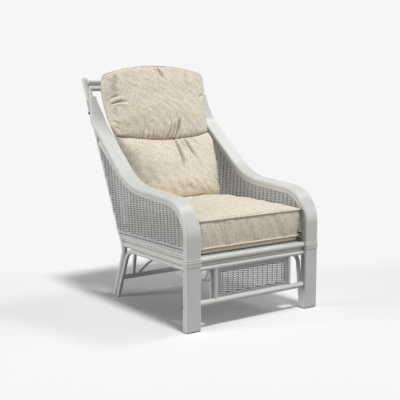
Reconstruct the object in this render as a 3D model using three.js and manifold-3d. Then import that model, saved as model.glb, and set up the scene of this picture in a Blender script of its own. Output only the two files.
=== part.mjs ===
// High-back armchair of painted cane with woven panels and two loose cushions.
// Millimetres. X runs across the chair, +Y from the front legs to the back, +Z up.
import * as THREE from "three";
import { mergeVertices } from "three/addons/utils/BufferGeometryUtils.js";
import Module from "manifold-3d";

const wasm = await Module();
wasm.setup();

// General sizes
const overallWidth = 702;
const seam = 0.3; // clearance between pieces that touch
const overrun = 60; // how far a cutter runs past what it cuts
const glideHeight = 3;

// Arm slab: its front face in side view, from the floor to the tip on the back post
const slabWidth = 72;
const slabThickness = 17;
const slabFrontRound = 7;
const slabBackRound = 4;
const armFrontHeight = 519; // where the line of the arm meets the front plane
const elbowDepth = 433; // where the arm starts to climb
const elbowHeight = 548;
const neckHeight = 805; // where the climb meets the back post
const tipHeight = 915;
const shoulderRadius = 152;
const elbowRadius = 320;
const neckRadius = 120;
const tipWidth = 34;
const slabLean = 8; // how far the arm leans in towards the neck
const tipCover = 8; // wood left over the pole that the tip saddles
const taperLength = 120;

// Poles under the slab
const armPoleRadius = 9;
const armPoleInset = 2; // from the slab's edge
const armPoleTop = 715;

// Back poles: a rear leg that bends at the knee into the raked post, and a slimmer pole before it
const backPoleRadius = 13;
const frontPoleRadius = 9;
const footInset = 92; // from the side of the chair to the middle of a rear foot
const topInset = 34; // the same at the top of the posts
const footDepth = 696;
const kneeDepth = 581.5;
const kneeHeight = 236;
const kneeRadius = 80;
const postTopDepth = 849.5;
const postHeight = 997;

// Side of the seat, from below: arch pole, side rail, strip, panel rail, braid, woven panel
const archRadius = 10;
const archHeight = 247;
const archBend = 88;
const sideRailRadius = 13.5;
const sideStripRadius = 4;
const panelRailRadius = 8;
const braidHeight = 24;
const braidThickness = 10;
const rearDrop = 8; // how much lower the side rails are at the back post

// Weave
const weaveThickness = 4; // between the stakes
const weaveSwell = 9.6; // where the strands pass over a stake
const weaveCrownShare = 0.29; // half width of a swell as a share of the pitch
const weaveFootShare = 0.46;
const stakePitch = 26;
const sidePanelTop = 798;

// Front base
const frontRailDepth = 18;
const topRailRadius = 13;
const topRailHeight = 284;
const secondRailRadius = 10;
const secondRailHeight = 249;
const stretcherRadius = 13;
const stretcherHeight = 108;
const panelPostRadius = 9;
const panelPostInset = 81; // from the leg
const backPostLow = 92;
const panelBorder = 13;
const panelBorderThickness = 10;
const braceRadius = 9;
const braceFootOut = 19; // from the leg's inner face
const braceKneeIn = 5;
const braceKneeHeight = 232;
const braceTop = 262;
const braceBend = 55;

// Rear base
const rearRailRadius = 13;
const rearRailHeight = 270;
const rearStretcherRadius = 11.5;
const rearStretcherHeight = 94;
const rearPostRadius = 9;
const rearPostInset = 69; // from the middle of the rear foot
const rearArchRadius = 5.5;
const rearArchFootInset = 22; // from the rear post
const rearArchShoulderInset = 80;
const rearArchHeight = 172;
const rearArchBend = 110;

// Back
const crestLead = 16; // how far the crest rails stand before the axis of the back poles
const crestRadius = 9;
const crestHeight = 977;
const lowCrestRadius = 11.5;
const lowCrestHeight = 948;
const crestStripRadius = 3.8;
const crestStripLead = 12;
const backRailRadius = 11;
const backRailHeight = 336;
const spindleRadius = 7;
const spindleCount = 5;

// Seat deck
const battenWidth = 22;
const battenHeight = 16;
const battenInset = 29; // from the leg's inner face
const slatWidth = 44;
const slatThickness = 7;
const slatCount = 8;
const slatInset = 13;

// Bands and fixings
const bandHeight = 30;
const bandLow = 263;
const bandThickness = 1.6;
const collarHeight = 48;
const collarLow = 848;
const collarThickness = 2.4;
const frontGlideRadius = 14;
const rearGlideRadius = 11;

// Seat cushion: a boxed cushion with piped edges
const seatCushionInset = 4; // from the leg's inner face
const seatCushionFront = 24;
const seatCushionRear = 28; // from its rear edge to the axis of the back pole
const seatCushionCorner = 16;
const lowPiping = 324.5; // height of the lower piping
const highPiping = 437;
const pipingRadius = 3.2;
const seatCrown = 25;
const seatCrownFall = 0.22; // share of the crown lost towards the back
const crownPower = 3;

// Rings of the seat cushion under its crown: [height, inset]
const seatRings = [
  [297.4, 76],
  [298.6, 50],
  [303, 26],
  [311, 9],
  [lowPiping - pipingRadius, 3],
  [lowPiping, -0.5],
  [lowPiping + pipingRadius, 3],
  [352, 1.5],
  [381, 1],
  [410, 1.5],
  [highPiping - pipingRadius, 3],
  [highPiping, -0.5],
];
const crownInsets = [4, 12, 26, 46, 76, 120, 180, 250];

// Back cushion: a headrest and a lumbar half divided by a gathered seam. Its piped edge lies in a
// plane before the back poles. Rows: [height, inset from the leg's inner face, swell before,
// swell behind, bow, lead of the edge before the axis of the back poles]
const backCushionLead = 90;
const backCushionRows = [
  [436, 66, 66, 36, 0, 88],
  [440, 55, 88, 44, 0, 87],
  [452, 48, 103, 50, 0, 86],
  [480, 43, 108, 54, 0, 85],
  [530, 38, 108, 54, -3, 85],
  [580, 33, 105, 53, -7, 85],
  [630, 27, 97, 51, -14, 84],
  [668, 22, 86, 49, -22, 83],
  [696, 20, 75, 46, -28, 81],
  [716, 21, 62, 43, -32, 78],
  [732, 24, 48, 40, -34, 74],
  [748, 22, 58, 36, -32, 69],
  [772, 18, 70, 30, -24, 63],
  [803, 12, 76, 27, -12, 60],
  [842, 6, 77, 27, 1, 60],
  [888, -2, 73, 31, 12, 64],
  [928, -6, 63, 36, 23, 71],
  [958, -6, 50, 38, 30, 80],
  [982, -3, 36, 32, 34, 88],
  [998, 5, 20, 18, 36, 94],
  [1006, 17, 6, 6, 36, 97],
];
const backFrontPower = 2.5;
const backRearPower = 3.2;
const backPiping = 3; // how far the piped edge stands out

const paint = new THREE.MeshStandardMaterial({ color: 0xc9ccc6, roughness: 0.42, metalness: 0 });
const wicker = new THREE.MeshStandardMaterial({ color: 0xc2c5c0, roughness: 0.55, metalness: 0 });
const tweed = new THREE.MeshStandardMaterial({ color: 0xd9cbb5, roughness: 0.95, metalness: 0 });
const glidePlastic = new THREE.MeshStandardMaterial({ color: 0x2b2b2c, roughness: 0.6, metalness: 0 });

const chair = new THREE.Group();

// A closed geometry as a solid, turned the right way out.
function solidFrom(geometry) {
  const bare = geometry.index ? geometry.clone() : mergeVertices(stripped(geometry));
  const merged = mergeVertices(stripped(bare));
  const triVerts = new Uint32Array(merged.index.array);
  const vertProperties = new Float32Array(merged.attributes.position.array);
  const solid = new wasm.Manifold(new wasm.Mesh({ numProp: 3, vertProperties, triVerts }));
  if (solid.volume() > 0) return solid;
  for (let i = 0; i < triVerts.length; i += 3) [triVerts[i], triVerts[i + 1]] = [triVerts[i + 1], triVerts[i]];
  return new wasm.Manifold(new wasm.Mesh({ numProp: 3, vertProperties, triVerts }));
}

function stripped(geometry) {
  const bare = geometry.clone();
  for (const name of Object.keys(bare.attributes)) if (name !== "position") bare.deleteAttribute(name);
  return bare;
}

function geometryFrom(solid) {
  const mesh = solid.getMesh();
  const geometry = new THREE.BufferGeometry();
  geometry.setAttribute("position", new THREE.BufferAttribute(new Float32Array(mesh.vertProperties), 3));
  geometry.setIndex(new THREE.BufferAttribute(new Uint32Array(mesh.triVerts), 1));
  const faceted = geometry.toNonIndexed();
  faceted.computeVertexNormals();
  return faceted;
}

// A solid carried through a matrix, which may mirror it.
function moved(solid, matrix) {
  const mesh = solid.getMesh();
  const geometry = new THREE.BufferGeometry();
  geometry.setAttribute("position", new THREE.BufferAttribute(new Float32Array(mesh.vertProperties), 3));
  geometry.setIndex(new THREE.BufferAttribute(new Uint32Array(mesh.triVerts), 1));
  return solidFrom(geometry.applyMatrix4(matrix));
}

function shifted(solid, x, y, z) {
  return moved(solid, new THREE.Matrix4().makeTranslation(x, y, z));
}

function place(name, solid, material) {
  const mesh = new THREE.Mesh(geometryFrom(solid), material);
  mesh.name = name;
  chair.add(mesh);
}

function without(solid, ...cutters) {
  return cutters.reduce((left, cutter) => left.subtract(cutter), solid);
}

// A line of stations: each one is a ring of the pole that follows it.
class StationPath extends THREE.Curve {
  constructor(stations) {
    super();
    this.stations = stations;
  }
  getPointAt(share, target = new THREE.Vector3()) {
    const last = this.stations.length - 1;
    const index = Math.min(last, Math.round(share * last));
    return target.copy(this.stations[index]);
  }
  getPoint(share, target) {
    return this.getPointAt(share, target);
  }
  getTangentAt(share, target = new THREE.Vector3()) {
    const last = this.stations.length - 1;
    const index = Math.min(last, Math.round(share * last));
    const before = this.stations[Math.max(0, index - 1)];
    const after = this.stations[Math.min(last, index + 1)];
    return target.subVectors(after, before).normalize();
  }
}

// The stations of a line through corners, each rounded to its radius.
function bent(corners, radii, arcStep = Math.PI / 16) {
  const stations = [corners[0].clone()];
  for (let i = 1; i < corners.length - 1; i += 1) {
    const corner = corners[i];
    const back = corners[i - 1].clone().sub(corner).normalize();
    const on = corners[i + 1].clone().sub(corner).normalize();
    const half = back.angleTo(on) / 2;
    const radius = radii[i - 1];
    const middle = back.clone().add(on).normalize().multiplyScalar(radius / Math.sin(half)).add(corner);
    const start = back.clone().multiplyScalar(radius / Math.tan(half)).add(corner).sub(middle);
    const end = on.clone().multiplyScalar(radius / Math.tan(half)).add(corner).sub(middle);
    const turn = Math.PI - 2 * half;
    const steps = Math.max(2, Math.ceil(turn / arcStep));
    const axis = new THREE.Vector3().crossVectors(start, end).normalize();
    for (let k = 0; k <= steps; k += 1) {
      stations.push(start.clone().applyAxisAngle(axis, (turn * k) / steps).add(middle));
    }
  }
  stations.push(corners[corners.length - 1].clone());
  return stations;
}

// Distance from a pole's axis to the flat of one of its facets.
function flatOf(radius, sides) {
  return radius * Math.cos(Math.PI / sides);
}

function circleShape(radius, sides) {
  const points = [];
  for (let i = 0; i < sides; i += 1) {
    const angle = ((i + 0.5) / sides) * 2 * Math.PI;
    points.push(new THREE.Vector2(radius * Math.cos(angle), radius * Math.sin(angle)));
  }
  return new THREE.Shape(points);
}

// A round pole along stations.
function pole(stations, radius, sides = 12) {
  const path = new StationPath(stations);
  const geometry = new THREE.ExtrudeGeometry(circleShape(radius, sides), {
    steps: stations.length - 1,
    extrudePath: path,
    bevelEnabled: false,
  });
  return solidFrom(geometry);
}

function point(x, y, z) {
  return new THREE.Vector3(x, y, z);
}

// A flat outline given as [across, along] pairs, pushed through a thickness.
function prism(outline, thickness, turn) {
  const shape = new THREE.Shape(outline.map(([a, b]) => new THREE.Vector2(a, b)));
  const geometry = new THREE.ExtrudeGeometry(shape, { depth: thickness, bevelEnabled: false });
  geometry.applyMatrix4(turn);
  return solidFrom(geometry);
}

function boxBetween(low, high) {
  const size = high.clone().sub(low);
  const geometry = new THREE.BoxGeometry(size.x, size.y, size.z);
  geometry.translate(low.x + size.x / 2, low.y + size.y / 2, low.z + size.z / 2);
  return solidFrom(geometry);
}

// A surface through rings with the same number of points, closed by its first and last ring.
function loft(rings) {
  const count = rings[0].length;
  const positions = [];
  const indices = [];
  for (const ring of rings) for (const p of ring) positions.push(p.x, p.y, p.z);
  for (let r = 0; r < rings.length - 1; r += 1) {
    for (let i = 0; i < count; i += 1) {
      const a = r * count + i;
      const b = r * count + ((i + 1) % count);
      indices.push(a, b, a + count, b, b + count, a + count);
    }
  }
  const last = (rings.length - 1) * count;
  for (let i = 1; i < count - 1; i += 1) {
    indices.push(0, i + 1, i);
    indices.push(last, last + i, last + i + 1);
  }
  const geometry = new THREE.BufferGeometry();
  geometry.setAttribute("position", new THREE.Float32BufferAttribute(positions, 3));
  geometry.setIndex(indices);
  return solidFrom(geometry);
}

const sides = { left: -1, right: 1 };
const slabX = overallWidth / 2 - slabWidth / 2;
const legInside = overallWidth / 2 - slabWidth;
const footSpread = overallWidth - 2 * footInset;
const topSpread = overallWidth - 2 * topInset;
const panelPostSpread = 2 * (legInside - panelPostInset);
const braceFoot = legInside + braceFootOut;
const braceKnee = legInside - braceKneeIn;
const rearPostSpread = footSpread - 2 * rearPostInset;
const seatCushionWidth = 2 * (legInside - seatCushionInset);

// Axis of the back poles, on the right-hand side
const spreadPerHeight = (topSpread - footSpread) / 2 / postHeight;
const rakePerHeight = (postTopDepth - kneeDepth) / (postHeight - kneeHeight);
const rake = Math.atan(rakePerHeight);

function postX(z) {
  return footSpread / 2 + spreadPerHeight * z;
}

function postY(z) {
  return kneeDepth + rakePerHeight * (z - kneeHeight);
}

// A point of the back's plane moved forward, square to the back.
function backPoint(x, z, forward = 0) {
  return point(x, postY(z) - forward * Math.cos(rake), z + forward * Math.sin(rake));
}

// The slab's face in side view as corners [y, z], and the same line moved inwards.
const tipLead = backPoleRadius + 2 * frontPoleRadius + 2 * seam + tipCover;

function faceDepth(z) {
  return postY(z) - tipLead / Math.cos(rake);
}

const faceCorners = [
  new THREE.Vector2(0, glideHeight + seam),
  new THREE.Vector2(0, armFrontHeight),
  new THREE.Vector2(elbowDepth, elbowHeight),
  new THREE.Vector2(faceDepth(neckHeight), neckHeight),
  new THREE.Vector2(faceDepth(tipHeight), tipHeight),
];

function inward(from, to) {
  const along = to.clone().sub(from).normalize();
  return new THREE.Vector2(along.y, -along.x);
}

function meeting(p, u, q, v) {
  const t = ((q.x - p.x) * v.y - (q.y - p.y) * v.x) / (u.x * v.y - u.y * v.x);
  return new THREE.Vector2(p.x + u.x * t, p.y + u.y * t);
}

function faceLine(depth) {
  const corners = faceCorners.map((corner, i) => {
    const before = i > 0 ? inward(faceCorners[i - 1], corner) : null;
    const after = i < faceCorners.length - 1 ? inward(corner, faceCorners[i + 1]) : null;
    if (!before) return corner.clone().addScaledVector(after, depth);
    if (!after) return corner.clone().addScaledVector(before, depth);
    return meeting(
      corner.clone().addScaledVector(before, depth),
      corner.clone().sub(faceCorners[i - 1]),
      corner.clone().addScaledVector(after, depth),
      faceCorners[i + 1].clone().sub(corner),
    );
  });
  const radii = [shoulderRadius - depth, elbowRadius + depth, neckRadius + depth];
  return bent(corners.map((c) => point(0, c.x, c.y)), radii);
}

// The slab's section at a station: rounded on the face, less rounded behind.
function slabRing(station, inwards, centre, width) {
  const half = width / 2;
  const ring = [];
  const rounds = [
    [-half + slabFrontRound, slabFrontRound, slabFrontRound, Math.PI],
    [half - slabFrontRound, slabFrontRound, slabFrontRound, 1.5 * Math.PI],
    [half - slabBackRound, slabThickness - slabBackRound, slabBackRound, 0],
    [-half + slabBackRound, slabThickness - slabBackRound, slabBackRound, 0.5 * Math.PI],
  ];
  for (const [across, deep, radius, from] of rounds) {
    for (let k = 0; k <= 3; k += 1) {
      const angle = from + (k / 3) * 0.5 * Math.PI;
      const a = across + radius * Math.cos(angle);
      const d = deep + radius * Math.sin(angle);
      ring.push(point(centre + a, station.y + inwards.y * d, station.z + inwards.z * d));
    }
  }
  return ring;
}

function smooth(share) {
  const s = Math.min(1, Math.max(0, share));
  return s * s * (3 - 2 * s);
}

function armSlab() {
  const line = faceLine(0);
  const stations = [];
  line.forEach((station, i) => {
    stations.push(station);
    const next = line[i + 1];
    const tapering = next && next.z > elbowHeight;
    if (tapering && next.distanceTo(station) > slabThickness) {
      for (const share of [1 / 3, 2 / 3]) stations.push(station.clone().lerp(next, share));
    }
  });
  const rings = stations.map((station, i) => {
    const before = stations[Math.max(0, i - 1)];
    const after = stations[Math.min(stations.length - 1, i + 1)];
    const along = after.clone().sub(before).normalize();
    const inwards = point(0, along.z, -along.y);
    const share = smooth((station.z - (tipHeight - taperLength)) / taperLength);
    const lean = slabLean * smooth((station.z - elbowHeight) / (neckHeight - elbowHeight));
    const centre = THREE.MathUtils.lerp(slabX - lean, postX(station.z), share);
    const width = THREE.MathUtils.lerp(slabWidth, tipWidth, share);
    return slabRing(station, inwards, centre, width);
  });
  return loft(rings);
}

function mirrored(solid, side) {
  return side > 0 ? solid : moved(solid, new THREE.Matrix4().makeScale(-1, 1, 1));
}

// The back pole and the slimmer pole before it, grown where they serve as cutters
const domeShare = 0.55;

function dome(end, direction, radius, sideCount) {
  const profile = [new THREE.Vector2(0, -radius)];
  for (let k = 0; k <= 4; k += 1) {
    const angle = (k / 4) * 0.5 * Math.PI;
    profile.push(new THREE.Vector2(radius * Math.cos(angle), domeShare * radius * Math.sin(angle)));
  }
  profile[profile.length - 1].x = 0;
  profile.splice(1, 0, new THREE.Vector2(radius, -radius));
  const geometry = new THREE.LatheGeometry(profile, sideCount);
  geometry.applyQuaternion(new THREE.Quaternion().setFromUnitVectors(point(0, 1, 0), direction));
  geometry.translate(end.x, end.y, end.z);
  return solidFrom(geometry);
}

function backPole(grow = 0) {
  const radius = backPoleRadius + grow;
  const foot = point(postX(0), footDepth, 0);
  const knee = point(postX(kneeHeight), kneeDepth, kneeHeight);
  const top = point(postX(postHeight), postTopDepth, postHeight);
  const low = foot.clone().sub(knee).normalize().multiplyScalar(overrun).add(foot);
  const up = top.clone().sub(knee).normalize();
  const end = top.clone().addScaledVector(up, -domeShare * backPoleRadius);
  const shaft = pole(bent([low, knee, end], [kneeRadius]), radius);
  return shaft.add(dome(end, up, radius * 0.985, 12));
}

const pairSpacing = backPoleRadius + frontPoleRadius + seam;

function frontPole(grow = 0) {
  const low = rearRailLine(sideRailRadius).z + seam;
  const from = backPoint(postX(low), low, pairSpacing);
  const high = lowCrestHeight - lowCrestRadius - seam;
  const to = backPoint(postX(high), high, pairSpacing);
  const up = to.clone().sub(from).normalize();
  const end = to.clone().addScaledVector(up, -domeShare * frontPoleRadius);
  const radius = frontPoleRadius + grow;
  return pole([from, end], radius).add(dome(end, up, radius * 0.985, 12));
}

// Heights of the stack of side rails, counted up from the arch pole
const sideRailHeight = archHeight + archRadius + seam + sideRailRadius;
const sideStripHeight = sideRailHeight + sideRailRadius + seam + sideStripRadius;
const panelRailHeight = sideStripHeight + sideStripRadius + seam + panelRailRadius;
const braidLow = panelRailHeight + panelRailRadius + seam;
const sideRun = kneeDepth;
const railCentreDepth = slabThickness + armPoleRadius; // where a side rail passes midway between the arm poles
const railLean = (slabX - postX(sideRailHeight)) / (sideRun - railCentreDepth);
const railStartX = slabX + railLean * railCentreDepth;

function dropAt(y) {
  return (rearDrop * y) / sideRun;
}

function rearRailLine(above) {
  const z = sideRailHeight - rearDrop + above;
  return point(postX(z), postY(z), z);
}

function sidePole(height, radius, grow = 0) {
  const from = point(railStartX, 0, height);
  const z = height - rearDrop;
  const to = point(postX(z), postY(z), z);
  return behindSlab(pole([from, to], radius + grow));
}

// Cuts a pole off square behind the board of the front leg.
function behindSlab(solid) {
  const low = point(-overallWidth, -overallWidth, 0);
  const high = point(overallWidth, slabThickness + seam, overallWidth);
  return solid.subtract(boxBetween(low, high));
}

function armPole(across, grow = 0) {
  const stations = faceLine(slabThickness + seam + armPoleRadius).filter((s) => s.z < armPoleTop);
  const line = faceLine(slabThickness + seam + armPoleRadius);
  const above = line[stations.length];
  const below = stations[stations.length - 1];
  const share = (armPoleTop - below.z) / (above.z - below.z);
  stations.push(below.clone().lerp(above, share));
  return pole(stations.map((s) => point(across, s.y, s.z)), armPoleRadius + grow, 10);
}

function legArch(grow = 0) {
  const spacing = backPoleRadius + archRadius + seam;
  const legLine = point(0, footDepth - kneeDepth, -kneeHeight).normalize();
  const shift = spacing / -legLine.z;
  const height = archHeight - rearDrop;
  const depthAt = (z) => footDepth - shift - ((footDepth - kneeDepth) * z) / kneeHeight;
  const foot = point(postX(0), depthAt(-overrun), -overrun);
  const bend = point(postX(height), depthAt(height), height);
  const front = point(railStartX, 0, archHeight);
  return behindSlab(pole(bent([foot, bend, front], [archBend]), archRadius + grow));
}

// Cuts a leg level with the top of its glide.
function levelled(solid) {
  const low = point(-overallWidth, -overallWidth, -2 * overrun);
  const high = point(overallWidth, 2 * overallWidth, glideHeight + seam);
  return solid.subtract(boxBetween(low, high));
}

// The plane of a woven side panel: x as a share of depth and height
const panelLow = braidLow + braidHeight + seam;
const panelThickness = weaveSwell;
const panelStandoff = frontPoleRadius + seam + panelThickness / 2;
const panelFrontX = slabX - seam;
const panelRearX = postX(panelLow) + panelStandoff;
const panelTopX = postX(armPoleTop) + frontPoleRadius + seam;
const panelSlopeY = (panelRearX - panelFrontX) / postY(panelLow);
const panelSlopeZ =
  (panelTopX - panelFrontX - panelSlopeY * postY(armPoleTop)) / (armPoleTop - panelLow);

function ontoPanelPlane(solid) {
  const shear = new THREE.Matrix4().set(
    1, panelSlopeY, panelSlopeZ, panelFrontX - panelSlopeZ * panelLow,
    0, 1, 0, 0,
    0, -rearDrop / sideRun, 1, 0,
    0, 0, 0, 1,
  );
  return moved(solid, shear);
}

// A sheet of weave: it swells over each upright stake, so that from above it is a wavy band.
function wovenSheet(from, to, low, high) {
  const count = Math.max(1, Math.round((to - from) / stakePitch));
  const pitch = (to - from) / count;
  const web = weaveThickness / 2;
  const crown = weaveSwell / 2;
  const profile = [];
  const edge = (face) => {
    const points = [];
    for (let i = 0; i < count; i += 1) {
      const middle = from + pitch * (i + 0.5);
      points.push([middle - weaveFootShare * pitch, face * web]);
      points.push([middle - weaveCrownShare * pitch, face * crown]);
      points.push([middle + weaveCrownShare * pitch, face * crown]);
      points.push([middle + weaveFootShare * pitch, face * web]);
    }
    return points;
  };
  profile.push([from, -web], ...edge(-1), [to, -web], [to, web], ...edge(1).reverse(), [from, web]);
  const upright = new THREE.Matrix4().set(
    0, 1, 0, 0,
    1, 0, 0, 0,
    0, 0, 1, low,
    0, 0, 0, 1,
  );
  return prism(profile, high - low, upright);
}

const lying = new THREE.Matrix4().set(
  0, 0, 1, 0,
  1, 0, 0, 0,
  0, 1, 0, 0,
  0, 0, 0, 1,
);

function sidePanel() {
  const line = faceLine(slabThickness + seam);
  const rearAt = (z) => postY(z) - (backPoleRadius - frontPoleRadius / 2) / Math.cos(rake);
  const outline = [[slabThickness + seam, panelLow]];
  for (const station of line) {
    const z = station.z + dropAt(station.y);
    if (station.z <= panelLow) continue;
    if (station.z > sidePanelTop) break;
    outline.push([station.y, z]);
  }
  outline.push([rearAt(sidePanelTop), sidePanelTop + dropAt(rearAt(sidePanelTop))]);
  outline.push([rearAt(panelLow), panelLow]);
  const across = new THREE.Matrix4().makeTranslation(-panelThickness, 0, 0).multiply(lying);
  const window = prism(outline, 2 * panelThickness, across);
  const sheet = wovenSheet(slabThickness + seam, postY(neckHeight), panelLow - seam, tipHeight);
  return ontoPanelPlane(sheet.intersect(window));
}

function braid() {
  const from = slabThickness + seam;
  const to = postY(braidLow) - backPoleRadius;
  const bead = braidHeight / 6;
  const profile = [];
  for (const face of [1, -1]) {
    for (let row = 0; row < 3; row += 1) {
      const middle = face * (braidHeight / 2 - bead * (1 + 2 * row));
      profile.push([middle + face * bead, (face * braidThickness) / 3]);
      profile.push([middle + (face * bead) / 2, (face * braidThickness) / 2]);
      profile.push([middle - (face * bead) / 2, (face * braidThickness) / 2]);
    }
    profile.push([(-face * braidHeight) / 2, (face * braidThickness) / 3]);
  }
  const along = new THREE.Matrix4().set(
    0, 1, 0, 0,
    0, 0, 1, from,
    1, 0, 0, braidLow + braidHeight / 2,
    0, 0, 0, 1,
  );
  return ontoPanelPlane(prism(profile, to - from, along));
}

// Poles that run straight across the chair
function crossPole(y, z, radius, halfLength, grow = 0, sideCount = 12) {
  return pole([point(-halfLength, y, z), point(halfLength, y, z)], radius + grow, sideCount);
}

const railHalf = legInside - seam;

function rearPlaneY(z) {
  return footDepth - ((footDepth - kneeDepth) * z) / kneeHeight;
}

for (const [label, side] of Object.entries(sides)) {
  const outerX = overallWidth / 2 - armPoleInset - armPoleRadius;
  const innerX = legInside + armPoleInset + armPoleRadius;
  const grownBack = backPole(seam);
  const grownFront = frontPole(seam);
  const put = (name, solid, material = paint) => place(`${name}_${label}`, mirrored(solid, side), material);

  put("arm_slab", without(armSlab(), grownBack, grownFront));
  put("arm_pole_outer", levelled(without(armPole(outerX), grownBack, grownFront)));
  put("arm_pole_inner", levelled(without(armPole(innerX), grownBack, grownFront)));
  put("back_pole", levelled(backPole()));
  put("front_pole", without(frontPole(), sidePole(sideRailHeight, sideRailRadius, seam)));
  put("leg_arch", levelled(legArch()));
  put("side_rail", without(sidePole(sideRailHeight, sideRailRadius), grownBack));
  put("side_strip", without(sidePole(sideStripHeight, sideStripRadius), grownBack, grownFront));
  put("panel_rail", without(sidePole(panelRailHeight, panelRailRadius), grownBack, grownFront));
  put("side_panel", without(sidePanel(), grownBack, grownFront), wicker);
  put("side_braid", without(braid(), grownBack, grownFront), wicker);

  const postCentre = panelPostSpread / 2;
  const backPostY = frontRailDepth + flatOf(stretcherRadius, 12) + seam + flatOf(panelPostRadius, 10);
  const backPostLine = [point(postCentre, backPostY, backPostLow), point(postCentre, backPostY, topRailHeight)];
  put("panel_back_post", pole(backPostLine, panelPostRadius, 10));

  const braceY = slabThickness + seam + 2 * armPoleRadius + seam + flatOf(braceRadius, 10);
  const braceStart = point(braceFoot, braceY, 0);
  const braceTurn = point(braceKnee, braceY, braceKneeHeight);
  const braceLine = [
    braceStart.clone().sub(braceTurn).normalize().multiplyScalar(overrun).add(braceStart),
    braceTurn,
    point(postCentre, braceY, braceTop),
  ];
  const brace = levelled(pole(bent(braceLine, [braceBend]), braceRadius, 10));
  const besidePost = point(postCentre + panelPostRadius + seam, overallWidth, overallWidth);
  put("front_brace", without(brace, boxBetween(point(0, 0, 0), besidePost)));

  const post = pole(
    [point(postCentre, frontRailDepth, stretcherHeight), point(postCentre, frontRailDepth, secondRailHeight)],
    panelPostRadius,
    10,
  );
  put("panel_post", without(
    post,
    crossPole(frontRailDepth, stretcherHeight, stretcherRadius, railHalf, seam),
    crossPole(frontRailDepth, secondRailHeight, secondRailRadius, railHalf, seam),
  ));

  const rearPostX = rearPostSpread / 2;
  const splay = spreadPerHeight * rearRailHeight;
  const rearPost = pole(
    [
      point(rearPostX, rearPlaneY(rearStretcherHeight), rearStretcherHeight),
      point(rearPostX + splay, postY(rearRailHeight), rearRailHeight),
    ],
    rearPostRadius,
    10,
  );
  put("rear_post", without(
    rearPost,
    crossPole(rearPlaneY(rearStretcherHeight), rearStretcherHeight, rearStretcherRadius, railHalf, seam),
    crossPole(postY(rearRailHeight), rearRailHeight, rearRailRadius, railHalf, seam),
  ));
}

// Front base
const fullHalf = overallWidth / 2;
const stripLow = secondRailHeight + secondRailRadius + seam;
const stripHigh = topRailHeight - topRailRadius - seam;
const frontStripRadius = (stripHigh - stripLow) / 2;
const frontStripHeight = (stripHigh + stripLow) / 2;
const bands = Object.values(sides).map((side) => mirrored(legBand(seam), side));

place("front_top_rail", without(crossPole(frontRailDepth, topRailHeight, topRailRadius, railHalf), ...bands), paint);
place("front_strip", without(crossPole(frontRailDepth, frontStripHeight, frontStripRadius, railHalf), ...bands), paint);
place("front_second_rail", crossPole(frontRailDepth, secondRailHeight, secondRailRadius, railHalf), paint);
place("front_stretcher", crossPole(frontRailDepth, stretcherHeight, stretcherRadius, railHalf), paint);

const panelHalf = panelPostSpread / 2 - panelPostRadius - seam;
const panelBottom = stretcherHeight + stretcherRadius + seam;
const panelTop = secondRailHeight - secondRailRadius - seam;

// A frame of two canes side by side, mitred at its four corners.
function frontBorder() {
  const bead = panelBorder / 2;
  const profile = [];
  for (let k = 0; k < 5; k += 1) {
    const angle = (k / 4) * Math.PI;
    profile.push([bead / 2 - (bead / 2) * Math.cos(angle), (-panelBorderThickness / 2) * Math.sin(angle)]);
  }
  for (let k = 1; k < 5; k += 1) {
    const angle = (k / 4) * Math.PI;
    profile.push([bead + bead / 2 - (bead / 2) * Math.cos(angle), (-panelBorderThickness / 2) * Math.sin(angle)]);
  }
  const back = profile.slice(1, -1).reverse().map(([a, d]) => [a, -d]);
  const section = [...profile, ...back];
  section[4] = [bead, -panelBorderThickness / 5];
  section[12] = [bead, panelBorderThickness / 5];
  const corners = [
    [-1, 0],
    [1, 0],
    [1, 1],
    [-1, 1],
  ];
  const positions = [];
  const indices = [];
  for (const [x, z] of corners) {
    for (const [a, d] of section) {
      positions.push(x * (panelHalf - a), frontRailDepth + d, z ? panelTop - a : panelBottom + a);
    }
  }
  const count = section.length;
  for (let c = 0; c < corners.length; c += 1) {
    const next = ((c + 1) % corners.length) * count;
    for (let i = 0; i < count; i += 1) {
      const j = (i + 1) % count;
      indices.push(c * count + i, c * count + j, next + i, c * count + j, next + j, next + i);
    }
  }
  const geometry = new THREE.BufferGeometry();
  geometry.setAttribute("position", new THREE.Float32BufferAttribute(positions, 3));
  geometry.setIndex(indices);
  return solidFrom(geometry);
}

const weaveHalf = panelHalf - panelBorder - seam;
const weaveLow = panelBottom + panelBorder + seam;
const weaveHigh = panelTop - panelBorder - seam;
const frontWeave = wovenSheet(-weaveHalf, weaveHalf, weaveLow, weaveHigh);
place("front_border", frontBorder(), paint);
const turned = new THREE.Matrix4().makeRotationZ(Math.PI / 2).setPosition(0, frontRailDepth, 0);
place("front_weave", moved(frontWeave, turned), wicker);

// A strip of cane bound round each front leg at the height of the seat
function legBand(grow = 0) {
  const reach = bandThickness + seam + grow;
  const low = point(legInside - reach, -reach, bandLow - grow);
  const high = point(fullHalf + reach, slabThickness, bandLow + bandHeight + grow);
  const inner = point(legInside - seam, -seam, bandLow - overrun);
  const outer = point(fullHalf + seam, slabThickness + seam, bandLow + 2 * overrun);
  const whole = boxBetween(low, high);
  return grow > 0 ? whole : whole.subtract(boxBetween(inner, outer));
}

// Rear base
const grownPoles = Object.values(sides).map((side) => mirrored(backPole(seam), side));
const grownFronts = Object.values(sides).map((side) => mirrored(frontPole(seam), side));
const grownSide = sidePole(sideRailHeight, sideRailRadius, seam).add(sidePole(sideStripHeight, sideStripRadius, seam));
const grownRails = Object.values(sides).map((side) => mirrored(grownSide, side));
const rearRailY = postY(rearRailHeight);
const rearStretcherY = rearPlaneY(rearStretcherHeight);

function rearRail(grow = 0) {
  return crossPole(rearRailY, rearRailHeight, rearRailRadius, postX(rearRailHeight), grow);
}

function rearStretcher(grow = 0) {
  return crossPole(rearStretcherY, rearStretcherHeight, rearStretcherRadius, postX(rearStretcherHeight), grow);
}

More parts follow.
